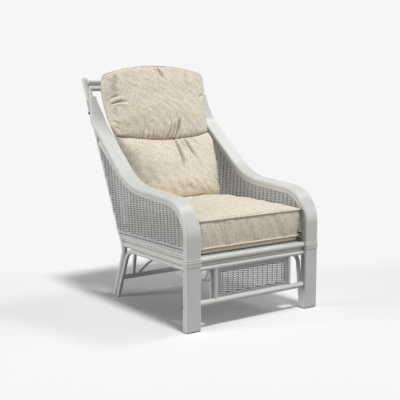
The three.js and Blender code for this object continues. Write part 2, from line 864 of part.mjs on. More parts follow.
place("rear_rail", without(rearRail(), ...grownPoles, ...grownRails), paint);
place("rear_stretcher", without(rearStretcher(), ...grownPoles), paint);

const rearArchFoot = rearPostSpread / 2 - rearArchFootInset;
const rearArchShoulder = rearPostSpread / 2 - rearArchShoulderInset;
const archPoint = (x, z) => point(x, rearPlaneY(z), z);
const archLine = [
  archPoint(-rearArchFoot, rearStretcherHeight),
  archPoint(-rearArchShoulder, rearArchHeight),
  archPoint(rearArchShoulder, rearArchHeight),
  archPoint(rearArchFoot, rearStretcherHeight),
];
const rearArch = pole(bent(archLine, [rearArchBend, rearArchBend]), rearArchRadius, 8);
place("rear_arch", without(rearArch, rearStretcher(seam)), paint);

// Back
function crest(z, lead, radius, grow = 0) {
  const y = postY(z) - lead / Math.cos(rake);
  return crossPole(y, z, radius, postX(z) - crestRadius / 2, grow);
}

const stripHeight = (crestHeight - crestRadius + lowCrestHeight + lowCrestRadius) / 2;
const coped = (solid) => without(solid, ...grownPoles, ...grownFronts);
place("crest_rail_upper", coped(crest(crestHeight, crestLead, crestRadius)), paint);
place("crest_strip", coped(crest(stripHeight, crestStripLead, crestStripRadius)), paint);
place("crest_rail_lower", coped(crest(lowCrestHeight, crestLead, lowCrestRadius)), paint);
place("back_rail_lower", coped(crest(backRailHeight, 0, backRailRadius)), paint);

const spindleMiddle = (spindleCount - 1) / 2;
const spindlePitchLow = (2 * postX(backRailHeight)) / (spindleCount + 1);
const spindlePitchHigh = (2 * postX(lowCrestHeight)) / (spindleCount + 1);
for (let i = 0; i < spindleCount; i += 1) {
  const low = point((i - spindleMiddle) * spindlePitchLow, postY(backRailHeight), backRailHeight);
  const highY = postY(lowCrestHeight) - crestLead / Math.cos(rake);
  const high = point((i - spindleMiddle) * spindlePitchHigh, highY, lowCrestHeight);
  const spindle = pole([low, high], spindleRadius, 8);
  const lowCut = crest(backRailHeight, 0, backRailRadius, seam);
  const highCut = crest(lowCrestHeight, crestLead, lowCrestRadius, seam);
  place(`back_spindle_${i + 1}`, without(spindle, lowCut, highCut), paint);
}

// Seat deck: slats across two battens
const deckTop = topRailHeight + topRailRadius;
const deckFront = frontRailDepth + topRailRadius + seam;
const deckRear = rearRailY - rearRailRadius - seam;
let deck = null;
for (const side of Object.values(sides)) {
  const x = side * (legInside - battenInset);
  const low = point(x - battenWidth / 2, deckFront, deckTop - slatThickness - battenHeight);
  const high = point(x + battenWidth / 2, deckRear, deckTop - slatThickness / 2);
  const batten = boxBetween(low, high);
  deck = deck ? deck.add(batten) : batten;
}
const slatPitch = (deckRear - deckFront - slatWidth) / (slatCount - 1);
for (let i = 0; i < slatCount; i += 1) {
  const y = deckFront + i * slatPitch;
  const half = legInside - slatInset;
  const low = point(-half, y, deckTop - slatThickness);
  deck = deck.add(boxBetween(low, point(half, y + slatWidth, deckTop)));
}
place("seat_deck", deck, paint);

// Binding round each pair of back poles, behind the tip of the arm
function collar() {
  const big = backPoleRadius + seam + collarThickness;
  const small = frontPoleRadius + seam + collarThickness;
  const lean = Math.asin((big - small) / pairSpacing);
  const outline = [];
  for (let k = 0; k <= 12; k += 1) {
    const angle = -Math.PI / 2 + lean + (k / 12) * (Math.PI - 2 * lean);
    outline.push([small * Math.sin(angle), pairSpacing + small * Math.cos(angle)]);
  }
  for (let k = 0; k <= 14; k += 1) {
    const angle = Math.PI / 2 - lean + (k / 14) * (Math.PI + 2 * lean);
    outline.push([big * Math.sin(angle), big * Math.cos(angle)]);
  }
  const up = point(spreadPerHeight, rakePerHeight, 1).normalize();
  const forward = point(0, -Math.cos(rake), Math.sin(rake));
  const across = new THREE.Vector3().crossVectors(up, forward).normalize();
  const ahead = new THREE.Vector3().crossVectors(across, up).normalize();
  const turn = new THREE.Matrix4().makeBasis(across, ahead, up);
  turn.setPosition(postX(collarLow), postY(collarLow), collarLow);
  return prism(outline, collarHeight / Math.cos(rake), turn);
}

for (const [label, side] of Object.entries(sides)) {
  const slab = armSlab();
  const clear = slab.add(shifted(slab, 0, seam, -seam)).add(shifted(slab, 0, seam, 0));
  const ring = without(collar(), backPole(seam), frontPole(seam), clear);
  place(`tip_binding_${label}`, mirrored(ring, side), paint);
  place(`leg_band_${label}`, mirrored(legBand(), side), paint);
}

// Glides
function glide(x, y, radius) {
  const geometry = new THREE.CylinderGeometry(radius, radius, glideHeight, 20);
  geometry.rotateX(Math.PI / 2);
  geometry.translate(x, y, glideHeight / 2);
  return solidFrom(geometry);
}

for (const [label, side] of Object.entries(sides)) {
  place(`glide_front_${label}`, glide(side * slabX, slabThickness, frontGlideRadius), glidePlastic);
  place(`glide_rear_${label}`, glide(side * postX(0), footDepth, rearGlideRadius), glidePlastic);
}

// Seat cushion
const seatCushionDepth = postY(lowPiping) - seatCushionRear - seatCushionFront;
const seatMiddle = seatCushionFront + seatCushionDepth / 2;

function roundedRing(inset, heightAt) {
  const halfX = seatCushionWidth / 2 - inset;
  const halfY = seatCushionDepth / 2 - inset;
  const radius = Math.min(halfX, halfY, seatCushionCorner + inset * 0.4) * 0.98;
  const quarters = [
    [1, 1, 0],
    [-1, 1, 0.5],
    [-1, -1, 1],
    [1, -1, 1.5],
  ];
  const ring = [];
  for (const [sx, sy, from] of quarters) {
    for (let k = 0; k <= 6; k += 1) {
      const angle = (from + (k / 6) * 0.5) * Math.PI;
      const x = sx * (halfX - radius) + radius * Math.cos(angle);
      const y = seatMiddle + sy * (halfY - radius) + radius * Math.sin(angle);
      ring.push(point(x, y, heightAt(x, y)));
    }
    const next = [
      [0, 1],
      [-1, 0],
      [0, -1],
      [1, 0],
    ][from * 2];
    for (const share of [-0.5, 0, 0.5]) {
      const x = next[0] ? next[0] * halfX : -next[1] * share * (halfX - radius);
      const y = next[1] ? next[1] * halfY : next[0] * share * (halfY - radius);
      ring.push(point(x, seatMiddle + y, heightAt(x, seatMiddle + y)));
    }
  }
  return ring;
}

function crownAt(x, y) {
  const across = Math.abs(x) / (seatCushionWidth / 2);
  const along = (y - seatMiddle) / (seatCushionDepth / 2);
  const fullness = (1 - across ** crownPower) * (1 - Math.abs(along) ** (2 * crownPower));
  const fall = 1 - seatCrownFall * smooth((along + 0.2) / 1.2);
  return highPiping + pipingRadius + seatCrown * Math.max(0, fullness) ** 0.6 * fall;
}

function seatCushion() {
  const rings = seatRings.map(([z, inset]) => roundedRing(inset, () => z));
  for (const inset of crownInsets) rings.push(roundedRing(inset, crownAt));
  return loft(rings);
}

// Back cushion
function backRing([height, inset, before, behind, bow, edgeLead]) {
  const halfWidth = legInside - inset;
  const ring = [];
  const turns = 44;
  for (let k = 0; k < turns; k += 1) {
    const angle = (k / turns) * 2 * Math.PI;
    const c = Math.cos(angle);
    const s = Math.sin(angle);
    const power = s > 0 ? backFrontPower : backRearPower;
    const edge = Math.abs(s) < 0.01 ? backPiping : 0;
    const x = Math.sign(c) * (halfWidth * Math.abs(c) ** (2 / power) + edge);
    const swell = s > 0 ? before : -behind;
    const lead = edgeLead + swell * Math.abs(s) ** (2 / power);
    const z = height + bow * (1 - (x / (halfWidth + backPiping)) ** 2);
    ring.push(backPoint(x, z, 0).addScaledVector(point(0, -Math.cos(rake), Math.sin(rake)), lead));
  }
  return ring;
}

const seat = seatCushion();
const onPlane = (z) => z - backCushionLead * Math.sin(rake);
const backRings = backCushionRows.map(([z, ...rest]) => backRing([onPlane(z), ...rest]));
place("seat_cushion", seat, tweed);
const clearOfSeat = [shifted(seat, 0, 0, seam), shifted(seat, 0, seam, 0), shifted(seat, 0, seam, seam)];
place("back_cushion", without(loft(backRings), ...clearOfSeat), tweed);

// The origin is the middle of the floor the chair stands on.
chair.updateMatrixWorld(true);
const bounds = new THREE.Box3().setFromObject(chair);
const middle = bounds.getCenter(point(0, 0, 0));
chair.position.set(-middle.x, -middle.y, -bounds.min.z);
chair.name = "chair";
export default chair;
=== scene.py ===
import math
import random

import bpy
import numpy as np
from mathutils import Matrix, Vector


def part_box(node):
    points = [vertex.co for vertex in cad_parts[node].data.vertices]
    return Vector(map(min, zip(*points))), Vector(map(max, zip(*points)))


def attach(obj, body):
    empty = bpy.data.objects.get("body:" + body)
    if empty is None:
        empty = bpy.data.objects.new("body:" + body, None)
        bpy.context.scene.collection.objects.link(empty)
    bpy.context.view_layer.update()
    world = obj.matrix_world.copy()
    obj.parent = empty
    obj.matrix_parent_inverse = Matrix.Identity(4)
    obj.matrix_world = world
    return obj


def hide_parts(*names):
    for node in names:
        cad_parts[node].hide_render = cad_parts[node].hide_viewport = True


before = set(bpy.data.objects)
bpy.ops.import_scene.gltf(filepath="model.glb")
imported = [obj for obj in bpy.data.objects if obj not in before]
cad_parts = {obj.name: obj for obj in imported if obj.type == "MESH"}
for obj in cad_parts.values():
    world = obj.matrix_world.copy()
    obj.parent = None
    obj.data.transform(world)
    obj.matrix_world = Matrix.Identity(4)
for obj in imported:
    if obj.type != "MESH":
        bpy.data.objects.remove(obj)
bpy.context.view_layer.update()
scene = bpy.context.scene
MM = 0.001
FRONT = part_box("arm_slab_left")[0].y / MM  # where the front plane of the legs lies in the part's frame
FRAME_BODY, SEAT_BODY, BACK_BODY = "chair_frame", "seat_cushion_body", "back_cushion_body"
SIDES = {"left": -1, "right": 1}

# Sizes of the chair in millimetres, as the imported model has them: x from its middle plane, y from the
# front plane of the legs, z from the floor. R is a radius, and a pair is a height and a radius.
WIDTH = 702
SEAM = 0.3
SLAB_WIDTH, SLAB_THICK = 72, 17
FACE_EASE, REAR_EASE = 7, 3  # radii of the slab's edges
GLIDE = 3
ARM_POLE_R, ARM_POLE_INSET, ARM_POLE_TOP = 9, 2, 715
BACK_R, BACK_BEND = 13, 80
FRONT_R = 9
FOOT_X, TOP_X = 259, 317
FOOT_Y = 696
KNEE_Y, KNEE_Z = 581.5, 236
POST_Y, POST_Z = 849.5, 997
SHOULDER_Z = 519
ELBOW_Y, ELBOW_Z = 433, 548
NECK_Z = 805
TIP_Z, TIP_WIDTH, TIP_THICK = 915, 34, 8
TAPER = 120
LEAN = 8
ARCH_R, ARCH_Z, ARCH_BEND = 10, 247, 88
SIDE_R = 13.5
SIDE_STRIP_R = 4
PANEL_RAIL_R = 8
BRAID_H = 24
DROP = 8  # of the side rails on their way to the back
WEAVE_HALF = 4.8
SIDE_STAKES, FRONT_STAKES = 29, 13
STAKE_R, STAKE_OVER = 2.5, 3  # a stake ends this far past the strands
STRAND_PITCH, STRAND_R, STRAND_FLAT, STRAND_SWELL = 3.92, 1.88, 0.9, 4.2
FIRST_STRAND, SHORTEST_STRAND, SPAN_POINTS = 2.2, 14, 7  # height above the braid, length, points a stake
FRONT_BORDER = (16.5, 16, 17.5)  # beside, below and above the weave
BRAID_CORD_R, BRAID_TURN, BRAID_OFFSET = 3.3, 24, 3.1
ROPE_INSET, ROPE_R, ROPE_TURN, ROPE_OFFSET = 3.5, 1.9, 26, 1.7
WEAVE_REACH = 6.0  # how far the weave rises and falls, strands included
PANEL_TOP = 798
RAIL_Y = 18
TOP_RAIL, SECOND_RAIL, STRETCHER = (284, 13), (249, 10), (108, 13)
PANEL_POST_X, PANEL_POST_R = 198, 9
PANEL_BACK_ENDS = (92, 284)  # heights
BRACE_R, BRACE_KNEE_Z, BRACE_TOP_Z, BRACE_BEND = 9, 232, 262, 55
BRACE_FOOT_X, BRACE_KNEE_X = 19, -5  # from the inside of the leg
REAR_RAIL, REAR_STRETCHER = (270, 13), (94, 11.5)
REAR_POST_X, REAR_POST_R = 190, 9
REAR_ARCH_FOOT_X, REAR_ARCH_X, REAR_ARCH_Z, REAR_ARCH_R, REAR_ARCH_BEND = 168, 110, 172, 5.5, 110
CREST, LOW_CREST, BACK_RAIL = (977, 9), (948, 11.5), (336, 11)
CREST_LEAD, CREST_STRIP_LEAD, CREST_STRIP_R = 16, 12, 3.8
BACK_SHORT, REAR_SHORT = 4.5, 2  # how far cross pieces end before the axes of the back poles
SPINDLES, SPINDLE_R = 5, 7
END_EASE = 3.5  # over this length a cane narrows at its end
SLAB_X = WIDTH / 2 - SLAB_WIDTH / 2
LEG_INSIDE = WIDTH / 2 - SLAB_WIDTH
OUTER_POLE_X = WIDTH / 2 - ARM_POLE_INSET - ARM_POLE_R
INNER_POLE_X = LEG_INSIDE + ARM_POLE_INSET + ARM_POLE_R
FLOOR = GLIDE + SEAM  # where the legs stand on their glides


def point(x, y, z):
    """A point given in chair millimetres, in metres of the part's frame."""
    return Vector((x * MM, (y + FRONT) * MM, z * MM))


# Lines that the poles follow

SPREAD = (TOP_X - FOOT_X) / POST_Z
SLOPE = (POST_Y - KNEE_Y) / (POST_Z - KNEE_Z)
RAKE = math.atan(SLOPE)


def post_x(z):
    return FOOT_X + SPREAD * z


def post_y(z):
    return KNEE_Y + SLOPE * (z - KNEE_Z)


def leg_y(z):
    return FOOT_Y - (FOOT_Y - KNEE_Y) * z / KNEE_Z


def back_point(x, z, lead=0.0):
    """A point of the back's plane moved forward, square to the back."""
    return Vector((x, post_y(z) - lead * math.cos(RAKE), z + lead * math.sin(RAKE)))


def bent(corners, radii, arc_step=math.pi / 40):
    """A line through corners, each rounded to its radius."""
    corners = [Vector(c) for c in corners]
    line = [corners[0]]
    for i in range(1, len(corners) - 1):
        corner = corners[i]
        back = (corners[i - 1] - corner).normalized()
        on = (corners[i + 1] - corner).normalized()
        half = back.angle(on) / 2
        radius = radii[i - 1]
        middle = corner + (back + on).normalized() * (radius / math.sin(half))
        start = corner + back * (radius / math.tan(half)) - middle
        end = corner + on * (radius / math.tan(half)) - middle
        turn = math.pi - 2 * half
        steps = max(2, math.ceil(turn / arc_step))
        axis = start.cross(end).normalized()
        for k in range(steps + 1):
            line.append(middle + Matrix.Rotation(turn * k / steps, 3, axis) @ start)
    line.append(corners[-1])
    return line


def runs(line):
    """How far along a line each of its points lies."""
    lengths = [0.0]
    for a, b in zip(line, line[1:]):
        lengths.append(lengths[-1] + (b - a).length)
    return lengths


def resampled(line, step):
    """The same line with points an even step apart."""
    lengths = runs(line)
    total = lengths[-1]
    count = max(2, int(round(total / step)) + 1)
    result = []
    k = 0
    for i in range(count):
        s = total * i / (count - 1)
        while k < len(line) - 2 and lengths[k + 1] < s:
            k += 1
        span = max(1e-9, lengths[k + 1] - lengths[k])
        result.append(line[k].lerp(line[k + 1], min(1.0, max(0.0, (s - lengths[k]) / span))))
    return result


TIP_LEAD = BACK_R + 2 * FRONT_R + 2 * SEAM + TIP_THICK


def face_depth(z):
    return post_y(z) - TIP_LEAD / math.cos(RAKE)


# Corners of the arm's face in side view, each a depth and a height, and the radii that round them
FACE = [(0, FLOOR), (0, SHOULDER_Z), (ELBOW_Y, ELBOW_Z), (face_depth(NECK_Z), NECK_Z), (face_depth(TIP_Z), TIP_Z)]
FACE_RADII = (152, 320, 120)


def face_line(depth):
    """The arm's face in side view, moved inwards by a depth."""
    corners = [Vector(corner) for corner in FACE]
    squares = [Vector((b.y - a.y, a.x - b.x)).normalized() for a, b in zip(corners, corners[1:])]
    moved = []
    for corner, a, b in zip(corners, [squares[0]] + squares, squares + [squares[-1]]):
        there = corner + (a + b) * (depth / (1 + a.dot(b)))
        moved.append((0, there.x, there.y))
    return bent(moved, (FACE_RADII[0] - depth, FACE_RADII[1] + depth, FACE_RADII[2] + depth))


def smooth(share):
    s = min(1.0, max(0.0, share))
    return s * s * (3 - 2 * s)


# Mesh helpers


def smoothed(mesh):
    mesh.polygons.foreach_set("use_smooth", [True] * len(mesh.polygons))


def mesh_object(name, vertices, faces, shade=True):
    mesh = bpy.data.meshes.new(name)
    mesh.from_pydata([tuple(v) for v in vertices], [], faces)
    mesh.validate()
    mesh.update()
    piece = bpy.data.objects.new(name, mesh)
    scene.collection.objects.link(piece)
    if shade:
        smoothed(mesh)
    return piece


def skin_data(rings, closed=False):
    """Vertices and faces of a skin through rings; its ends are closed unless the rings close on themselves."""
    count = len(rings[0])
    vertices = [p for ring in rings for p in ring]
    faces = []
    spans = len(rings) if closed else len(rings) - 1
    for r in range(spans):
        here = r * count
        there = ((r + 1) % len(rings)) * count
        for i in range(count):
            j = (i + 1) % count
            faces.append((here + i, here + j, there + j, there + i))
    if not closed:
        faces.append(tuple(reversed(range(count))))
        faces.append(tuple(range((len(rings) - 1) * count, len(rings) * count)))
    return vertices, faces


def tangents(line, closed=False):
    """The direction of a line at each of its points."""
    before = (line[-1:] if closed else line[:1]) + line[:-1]
    after = line[1:] + (line[:1] if closed else line[-1:])
    return [(b - a).normalized() for a, b in zip(before, after)]


def frames_along(line, closed=False):
    """Unit directions across a line that turn with it and don't twist."""
    along = tangents(line, closed)
    start = Vector((0, 0, 1)) if abs(along[0].z) < 0.9 else Vector((1, 0, 0))
    side = (start - along[0] * start.dot(along[0])).normalized()
    frames = []
    for tangent in along:
        side = (side - tangent * side.dot(tangent)).normalized()
        frames.append((side, tangent.cross(side)))
    return frames


def circle(count):
    """Cosine and sine at even steps round a circle."""
    angles = [2 * math.pi * k / count for k in range(count)]
    return [(math.cos(angle), math.sin(angle)) for angle in angles]


def tube_data(line, radii, sides=16, closed=False, flat=1.0):
    """A round or flattened tube along a line given in chair millimetres."""
    turns = circle(sides)
    rings = []
    for p, (a, b), radius in zip(line, frames_along(line, closed), radii):
        rings.append([point(*(p + a * (radius * c) + b * (radius * flat * s))) for c, s in turns])
    return skin_data(rings, closed)


def joined(parts):
    vertices, faces = [], []
    for more, shapes in parts:
        base = len(vertices)
        vertices.extend(more)
        faces.extend(tuple(i + base for i in shape) for shape in shapes)
    return vertices, faces


def cane_data(line, radius, seed, step=6.0, sides=20, ends=(True, True)):
    """A peeled cane: nearly round, with low rings at its nodes and eased ends."""
    rng = random.Random(seed)
    points = resampled(line, step)
    length = runs(points)[-1]
    nodes = []
    s = rng.uniform(60, 190)
    while s < length:
        nodes.append(s)
        s += rng.uniform(170, 270)
    if ends[0]:
        points = [points[0], points[0].lerp(points[1], 0.25), points[0].lerp(points[1], 0.6)] + points[1:]
    if ends[1]:
        points = points[:-1] + [points[-2].lerp(points[-1], 0.4), points[-2].lerp(points[-1], 0.75), points[-1]]
    radii = []
    phase = rng.uniform(0, 6.28)
    for run in runs(points):
        r = radius * (1 + 0.006 * math.sin(run / 37 + phase))
        for node in nodes:
            r += radius * 0.034 * math.exp(-(((run - node) / 4.5) ** 2))
            r -= radius * 0.018 * math.exp(-(((run - node - 9) / 5) ** 2))
        ease = 1.0
        for at_end, distance in ((ends[0], run), (ends[1], length - run)):
            if at_end and distance < END_EASE:
                ease = min(ease, 0.72 + 0.28 * math.sqrt(max(0.0, 1 - ((END_EASE - distance) / END_EASE) ** 2)))
        radii.append(r * ease)
    return tube_data(points, radii, sides)


def mirrored(data, side):
    if side > 0:
        return data
    vertices, faces = data
    return [Vector((-v.x, v.y, v.z)) for v in vertices], [tuple(reversed(f)) for f in faces]


# Materials


def feed(tree, node, inputs):
    """Sets inputs of a node, each to a value or to another node's output."""
    for socket, value in inputs.items():
        if isinstance(value, bpy.types.NodeSocket):
            tree.links.new(value, node.inputs[socket])
        else:
            node.inputs[socket].default_value = value


def added(tree, kind, output, inputs, **settings):
    """Adds a node and returns the output of it that is wanted."""
    node = tree.nodes.new(kind)
    for name, value in settings.items():
        setattr(node, name, value)
    feed(tree, node, inputs)
    return node.outputs[output]


def new_material(name):
    material = bpy.data.materials.new(name)
    material.use_nodes = True
    return material, material.node_tree, material.node_tree.nodes["Principled BSDF"]


def grey(value):
    return (value, value, value)


def ramp(tree, factor, *stops):
    """A colour that follows a factor between stops, each a place and a colour."""
    node = tree.nodes.new("ShaderNodeValToRGB")
    for i, (place, colour) in enumerate(stops):
        element = node.color_ramp.elements[i] if i < 2 else node.color_ramp.elements.new(place)
        element.position = place
        element.color = (*colour, 1)
    tree.links.new(factor, node.inputs["Fac"])
    return node.outputs["Color"]


def noise(tree, scale, detail, roughness=0.5, stretch=(1, 1, 1)):
    """Noise that lies still on its piece, drawn out along the axes whose stretch is small."""
    place = added(tree, "ShaderNodeTexCoord", "Object", {})
    place = added(tree, "ShaderNodeMapping", "Vector", {"Vector": place, "Scale": stretch})
    inputs = {"Vector": place, "Scale": scale, "Detail": detail, "Roughness": roughness}
    return added(tree, "ShaderNodeTexNoise", "Fac", inputs)


def mixed(tree, kind, factor, a, b):
    inputs = {"Factor": factor, "A": a, "B": b}
    return added(tree, "ShaderNodeMix", "Result", inputs, data_type="RGBA", blend_type=kind)


def bumped(tree, height, strength, distance):
    inputs = {"Height": height, "Strength": strength, "Distance": distance}
    return added(tree, "ShaderNodeBump", "Normal", inputs)


def painted_hollow_shade(tree, dark):
    """Painted shade: white, but as dark as given where the mesh's hollows are deepest."""
    shade_depth = added(tree, "ShaderNodeAttribute", "Fac", {}, attribute_name="painted_shade")
    return ramp(tree, shade_depth, (0, grey(1)), (1, grey(dark)))


def paint_material(name, light, dark, roughness, streak=(1, 1, 0.12), bump=0.05, painted_shade=1):
    """Satin paint over cane: faint streaks of the grain, faint cloudiness, fine orange peel; painted shade in the
    mesh's hollows where a darkness for them is given.
    """
    material, tree, shader = new_material(name)
    cloud = noise(tree, 14, 4)
    grain = noise(tree, 260, 4, 0.6, streak)
    shade = ramp(tree, grain, (0.25, grey(0.93)), (0.6, grey(1)))
    colour = mixed(tree, "MULTIPLY", 1, ramp(tree, cloud, (0.3, dark), (0.7, light)), shade)
    if painted_shade < 1:
        colour = mixed(tree, "MULTIPLY", 1, colour, painted_hollow_shade(tree, painted_shade))
    span = {"Value": cloud, "To Min": roughness - 0.05, "To Max": roughness + 0.07}
    feed(tree, shader, {
        "Base Color": colour,
        "Roughness": added(tree, "ShaderNodeMapRange", "Result", span),
        "Normal": bumped(tree, grain, bump, 0.001),
    })
    return material


def tweed_material():
    """Oatmeal tweed: cream yarn flecked with tan and olive brown, over a plain weave; darker in the hollows that
    the mesh marks, a painted shade.
    """
    material, tree, shader = new_material("oatmeal_tweed")
    fleck = noise(tree, 270, 5, 0.64)
    blotch = noise(tree, 95, 4, 0.6)
    slub = noise(tree, 330, 3, 0.55, (0.35, 1, 1))
    rise = noise(tree, 330, 3, 0.55, (1, 1, 0.35))
    colour = ramp(tree, fleck, (0.38, (0.64, 0.545, 0.43)), (0.48, (0.92, 0.825, 0.705)), (0.58, (1, 0.93, 0.825)))
    for factor, shade in (
        (1, ramp(tree, blotch, (0.3, (0.9, 0.885, 0.86)), (0.62, grey(1)))),
        (0.8, ramp(tree, slub, (0.34, (0.8, 0.785, 0.75)), (0.56, grey(1)))),
        (0.8, ramp(tree, rise, (0.34, (0.86, 0.85, 0.82)), (0.56, grey(1)))),
        # painted shade in the cover's seams, gathers and folds, and along and under the pipings
        (1, painted_hollow_shade(tree, 0.56)),
    ):
        colour = mixed(tree, "MULTIPLY", factor, colour, shade)
    yarns = added(tree, "ShaderNodeMath", "Value", {0: slub, 1: rise}, operation="ADD")
    feed(tree, shader, {
        "Base Color": colour,
        "Roughness": 0.95,
        "Specular IOR Level": 0.15,
        "Sheen Weight": 0.15,
        "Sheen Roughness": 0.5,
        "Normal": bumped(tree, yarns, 0.5, 0.0012),
    })
    return material


def plain_material(name, light, dark, roughness, scale):
    material, tree, shader = new_material(name)
    speck = noise(tree, scale, 3)
    colour = ramp(tree, speck, (0.35, grey(dark)), (0.65, grey(light)))
    feed(tree, shader, {"Base Color": colour, "Roughness": roughness, "Normal": bumped(tree, speck, 0.1, 0.0005)})
    return material


WOVEN = ((0.2, 0.2, 1), 0.12)  # streak and bump of the thin canes
PAINT = paint_material("painted_cane", (0.645, 0.66, 0.635), (0.615, 0.63, 0.605), 0.3)
BOARD = paint_material("painted_board", (0.645, 0.66, 0.635), (0.62, 0.635, 0.61), 0.33, (1, 0.1, 0.1), 0.04)
# the wicker's last value is how dark its painted shade gets in the hollows of the weave, braids and border cords
WICKER = paint_material("painted_wicker", (0.79, 0.8, 0.78), (0.74, 0.75, 0.73), 0.4, *WOVEN, 0.38)
# a darker, cooler copy of the wicker paint for the front panel in the recess under the seat: painted shade
SHADED_FRONT_WICKER = paint_material("wicker_front_painted_shade", (0.68, 0.69, 0.7), (0.62, 0.63, 0.64), 0.4, *WOVEN, 0.3)
# a dark grey that paints shade: on the stakes behind the strands, in the lines of the front border, on the screw
# plugs
SHADED = paint_material("dark_painted_shade", grey(0.22), grey(0.17), 0.6, *WOVEN)
TWEED = tweed_material()
RUBBER = plain_material("glide_rubber", 0.045, 0.03, 0.6, 900)
BLACK = plain_material("black_bolt", 0.03, 0.018, 0.4, 500)

# Meshes as arrays, and the painted shade kept on them in their hollows


def vectors(mesh, kind):
    """The "co" or "normal" of each point of a mesh."""
    values = np.zeros(len(mesh.vertices) * 3)
    mesh.vertices.foreach_get(kind, values)
    return values.reshape(-1, 3)


def set_coordinates(mesh, values):
    mesh.vertices.foreach_set("co", values.reshape(-1))
    mesh.update()


def in_chair(values):
    """Points in metres as chair millimetres."""
    return values / MM - np.array([0, FRONT, 0])


def step(values, low, high):
    """Eases from 0 at low to 1 at high."""
    t = np.clip((values - low) / (high - low), 0, 1)
    return t * t * (3 - 2 * t)


def with_painted_shade(piece, values):
    """Keeps how far into the hollows each point of a piece lies, 0 to 1; its material is darker there, a painted
    shade.
    """
    layer = piece.data.attributes.new("painted_shade", "FLOAT", "POINT")
    layer.data.foreach_set("value", np.clip(values, 0, 1).astype(np.float32))


def painted_rope_shade(piece, lines, reach):
    """Painted shade in the hollows between the strands of ropes along straight lines; a left piece is read
    mirrored.
    """
    at = in_chair(vectors(piece.data, "co"))
    at[:, 0] = np.abs(at[:, 0])
    nearest = np.full(len(at), 1e9)
    for a, b in lines:
        a, b = np.array(a), np.array(b)
        along = (b - a) / np.linalg.norm(b - a)
        away = at - a
        away -= np.outer(away @ along, along)
        nearest = np.minimum(nearest, np.linalg.norm(away, axis=1))
    with_painted_shade(piece, 1 - step(nearest / reach, 0.5, 0.93))


def painted_weave_shade(piece, origin, across):
    """Painted shade in the hollows of a woven sheet through a point, square to a direction: points that lie back or
    face away are darker; a left piece is read mirrored.
    """
    at, out = in_chair(vectors(piece.data, "co")), vectors(piece.data, "normal")
    if across[0] > 0.5:
        side = np.where(at[:, 0] < 0, -1.0, 1.0)
        at[:, 0] *= side
        out[:, 0] *= side
    rise = (at - np.array(origin)) @ np.array(across) / WEAVE_REACH
    faces = np.clip(3 * (out @ np.array(across)), -1, 1)
    with_painted_shade(piece, 1 - step(rise * faces, -0.45, 0.55))


# Pieces


def dressed(name, data, material, nodes=(), body=FRAME_BODY):
    """A visible piece on a body, shown for nodes of the solids."""
    piece = mesh_object(name, *data)
    piece.data.materials.append(material)
    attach(piece, body)
    if nodes:
        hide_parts(*nodes)
    return piece


def pair(name, data, material, node=None):
    """The left and the right piece, from the data of the right one."""
    return [
        dressed(f"{name}_{label}", mirrored(data, side), material, [f"{node}_{label}"] if node else ())
        for label, side in SIDES.items()
    ]


def cane(name, line, radius, node, seed, **more):
    return dressed(name, cane_data([Vector(p) for p in line], radius, seed, **more), PAINT, [node])


def cane_pair(name, line, radius, node, seed, dome=0.0, **more):
    """A cane on each side, with nodes of its own, and a rounded upper end where a dome is given."""
    line = [Vector(p) for p in line]
    for label, side in SIDES.items():
        data = domed(line, radius, seed + side, dome) if dome else cane_data(line, radius, seed + side, **more)
        dressed(f"{name}_{label}", mirrored(data, side), PAINT, [f"{node}_{label}"])


# Arm slabs


def slab_section(station, inwards, centre, width):
    """The board's section: eased face with a faint line where the round begins, small rounds behind."""
    half = width / 2
    ring = []
    corners = (
        (FACE_EASE - half, FACE_EASE, FACE_EASE, math.pi, 7),
        (half - FACE_EASE, FACE_EASE, FACE_EASE, 1.5 * math.pi, 7),
        (half - REAR_EASE, SLAB_THICK - REAR_EASE, REAR_EASE, 0, 4),
        (REAR_EASE - half, SLAB_THICK - REAR_EASE, REAR_EASE, 0.5 * math.pi, 4),
    )
    for across, shade_depth, radius, start, steps in corners:
        for k in range(steps + 1):
            angle = start + 0.5 * math.pi * k / steps
            a = across + radius * math.cos(angle)
            d = shade_depth + radius * math.sin(angle)
            ring.append(point(centre + a, station.y + inwards.y * d, station.z + inwards.z * d))
        if start == math.pi:
            for share in (0.012, 0.5, 0.988):
                a = FACE_EASE - half + (width - 2 * FACE_EASE) * share
                ring.append(point(centre + a, station.y, station.z))
    return ring


def slab_rings():
    line = resampled(face_line(0), 7)
    rings = []
    for station, along in zip(line, tangents(line)):
        inwards = Vector((0, along.z, -along.y))
        share = smooth((station.z - (TIP_Z - TAPER)) / TAPER)
        leaned = SLAB_X - LEAN * smooth((station.z - ELBOW_Z) / (NECK_Z - ELBOW_Z))
        centre = leaned + (post_x(station.z) - leaned) * share
        width = SLAB_WIDTH + (TIP_WIDTH - SLAB_WIDTH) * share
        rings.append(slab_section(station, inwards, centre, width))
    return rings


for piece in pair("arm_board", skin_data(slab_rings()), BOARD, "arm_slab"):
    bevel = piece.modifiers.new("ease", "BEVEL")
    bevel.width = 0.0022
    bevel.segments = 3
    bevel.limit_method = "ANGLE"
    bevel.angle_limit = math.radians(50)

# Poles of the sides

SIDE_Z = ARCH_Z + ARCH_R + SEAM + SIDE_R
STRIP_Z = SIDE_Z + SIDE_R + SEAM + SIDE_STRIP_R
PANEL_RAIL_Z = STRIP_Z + SIDE_STRIP_R + SEAM + PANEL_RAIL_R
BRAID_LOW = PANEL_RAIL_Z + PANEL_RAIL_R + SEAM
PANEL_LOW = BRAID_LOW + BRAID_H + SEAM
MID_DEPTH = SLAB_THICK + ARM_POLE_R
RAIL_START_X = SLAB_X + (SLAB_X - post_x(SIDE_Z)) / (KNEE_Y - MID_DEPTH) * MID_DEPTH


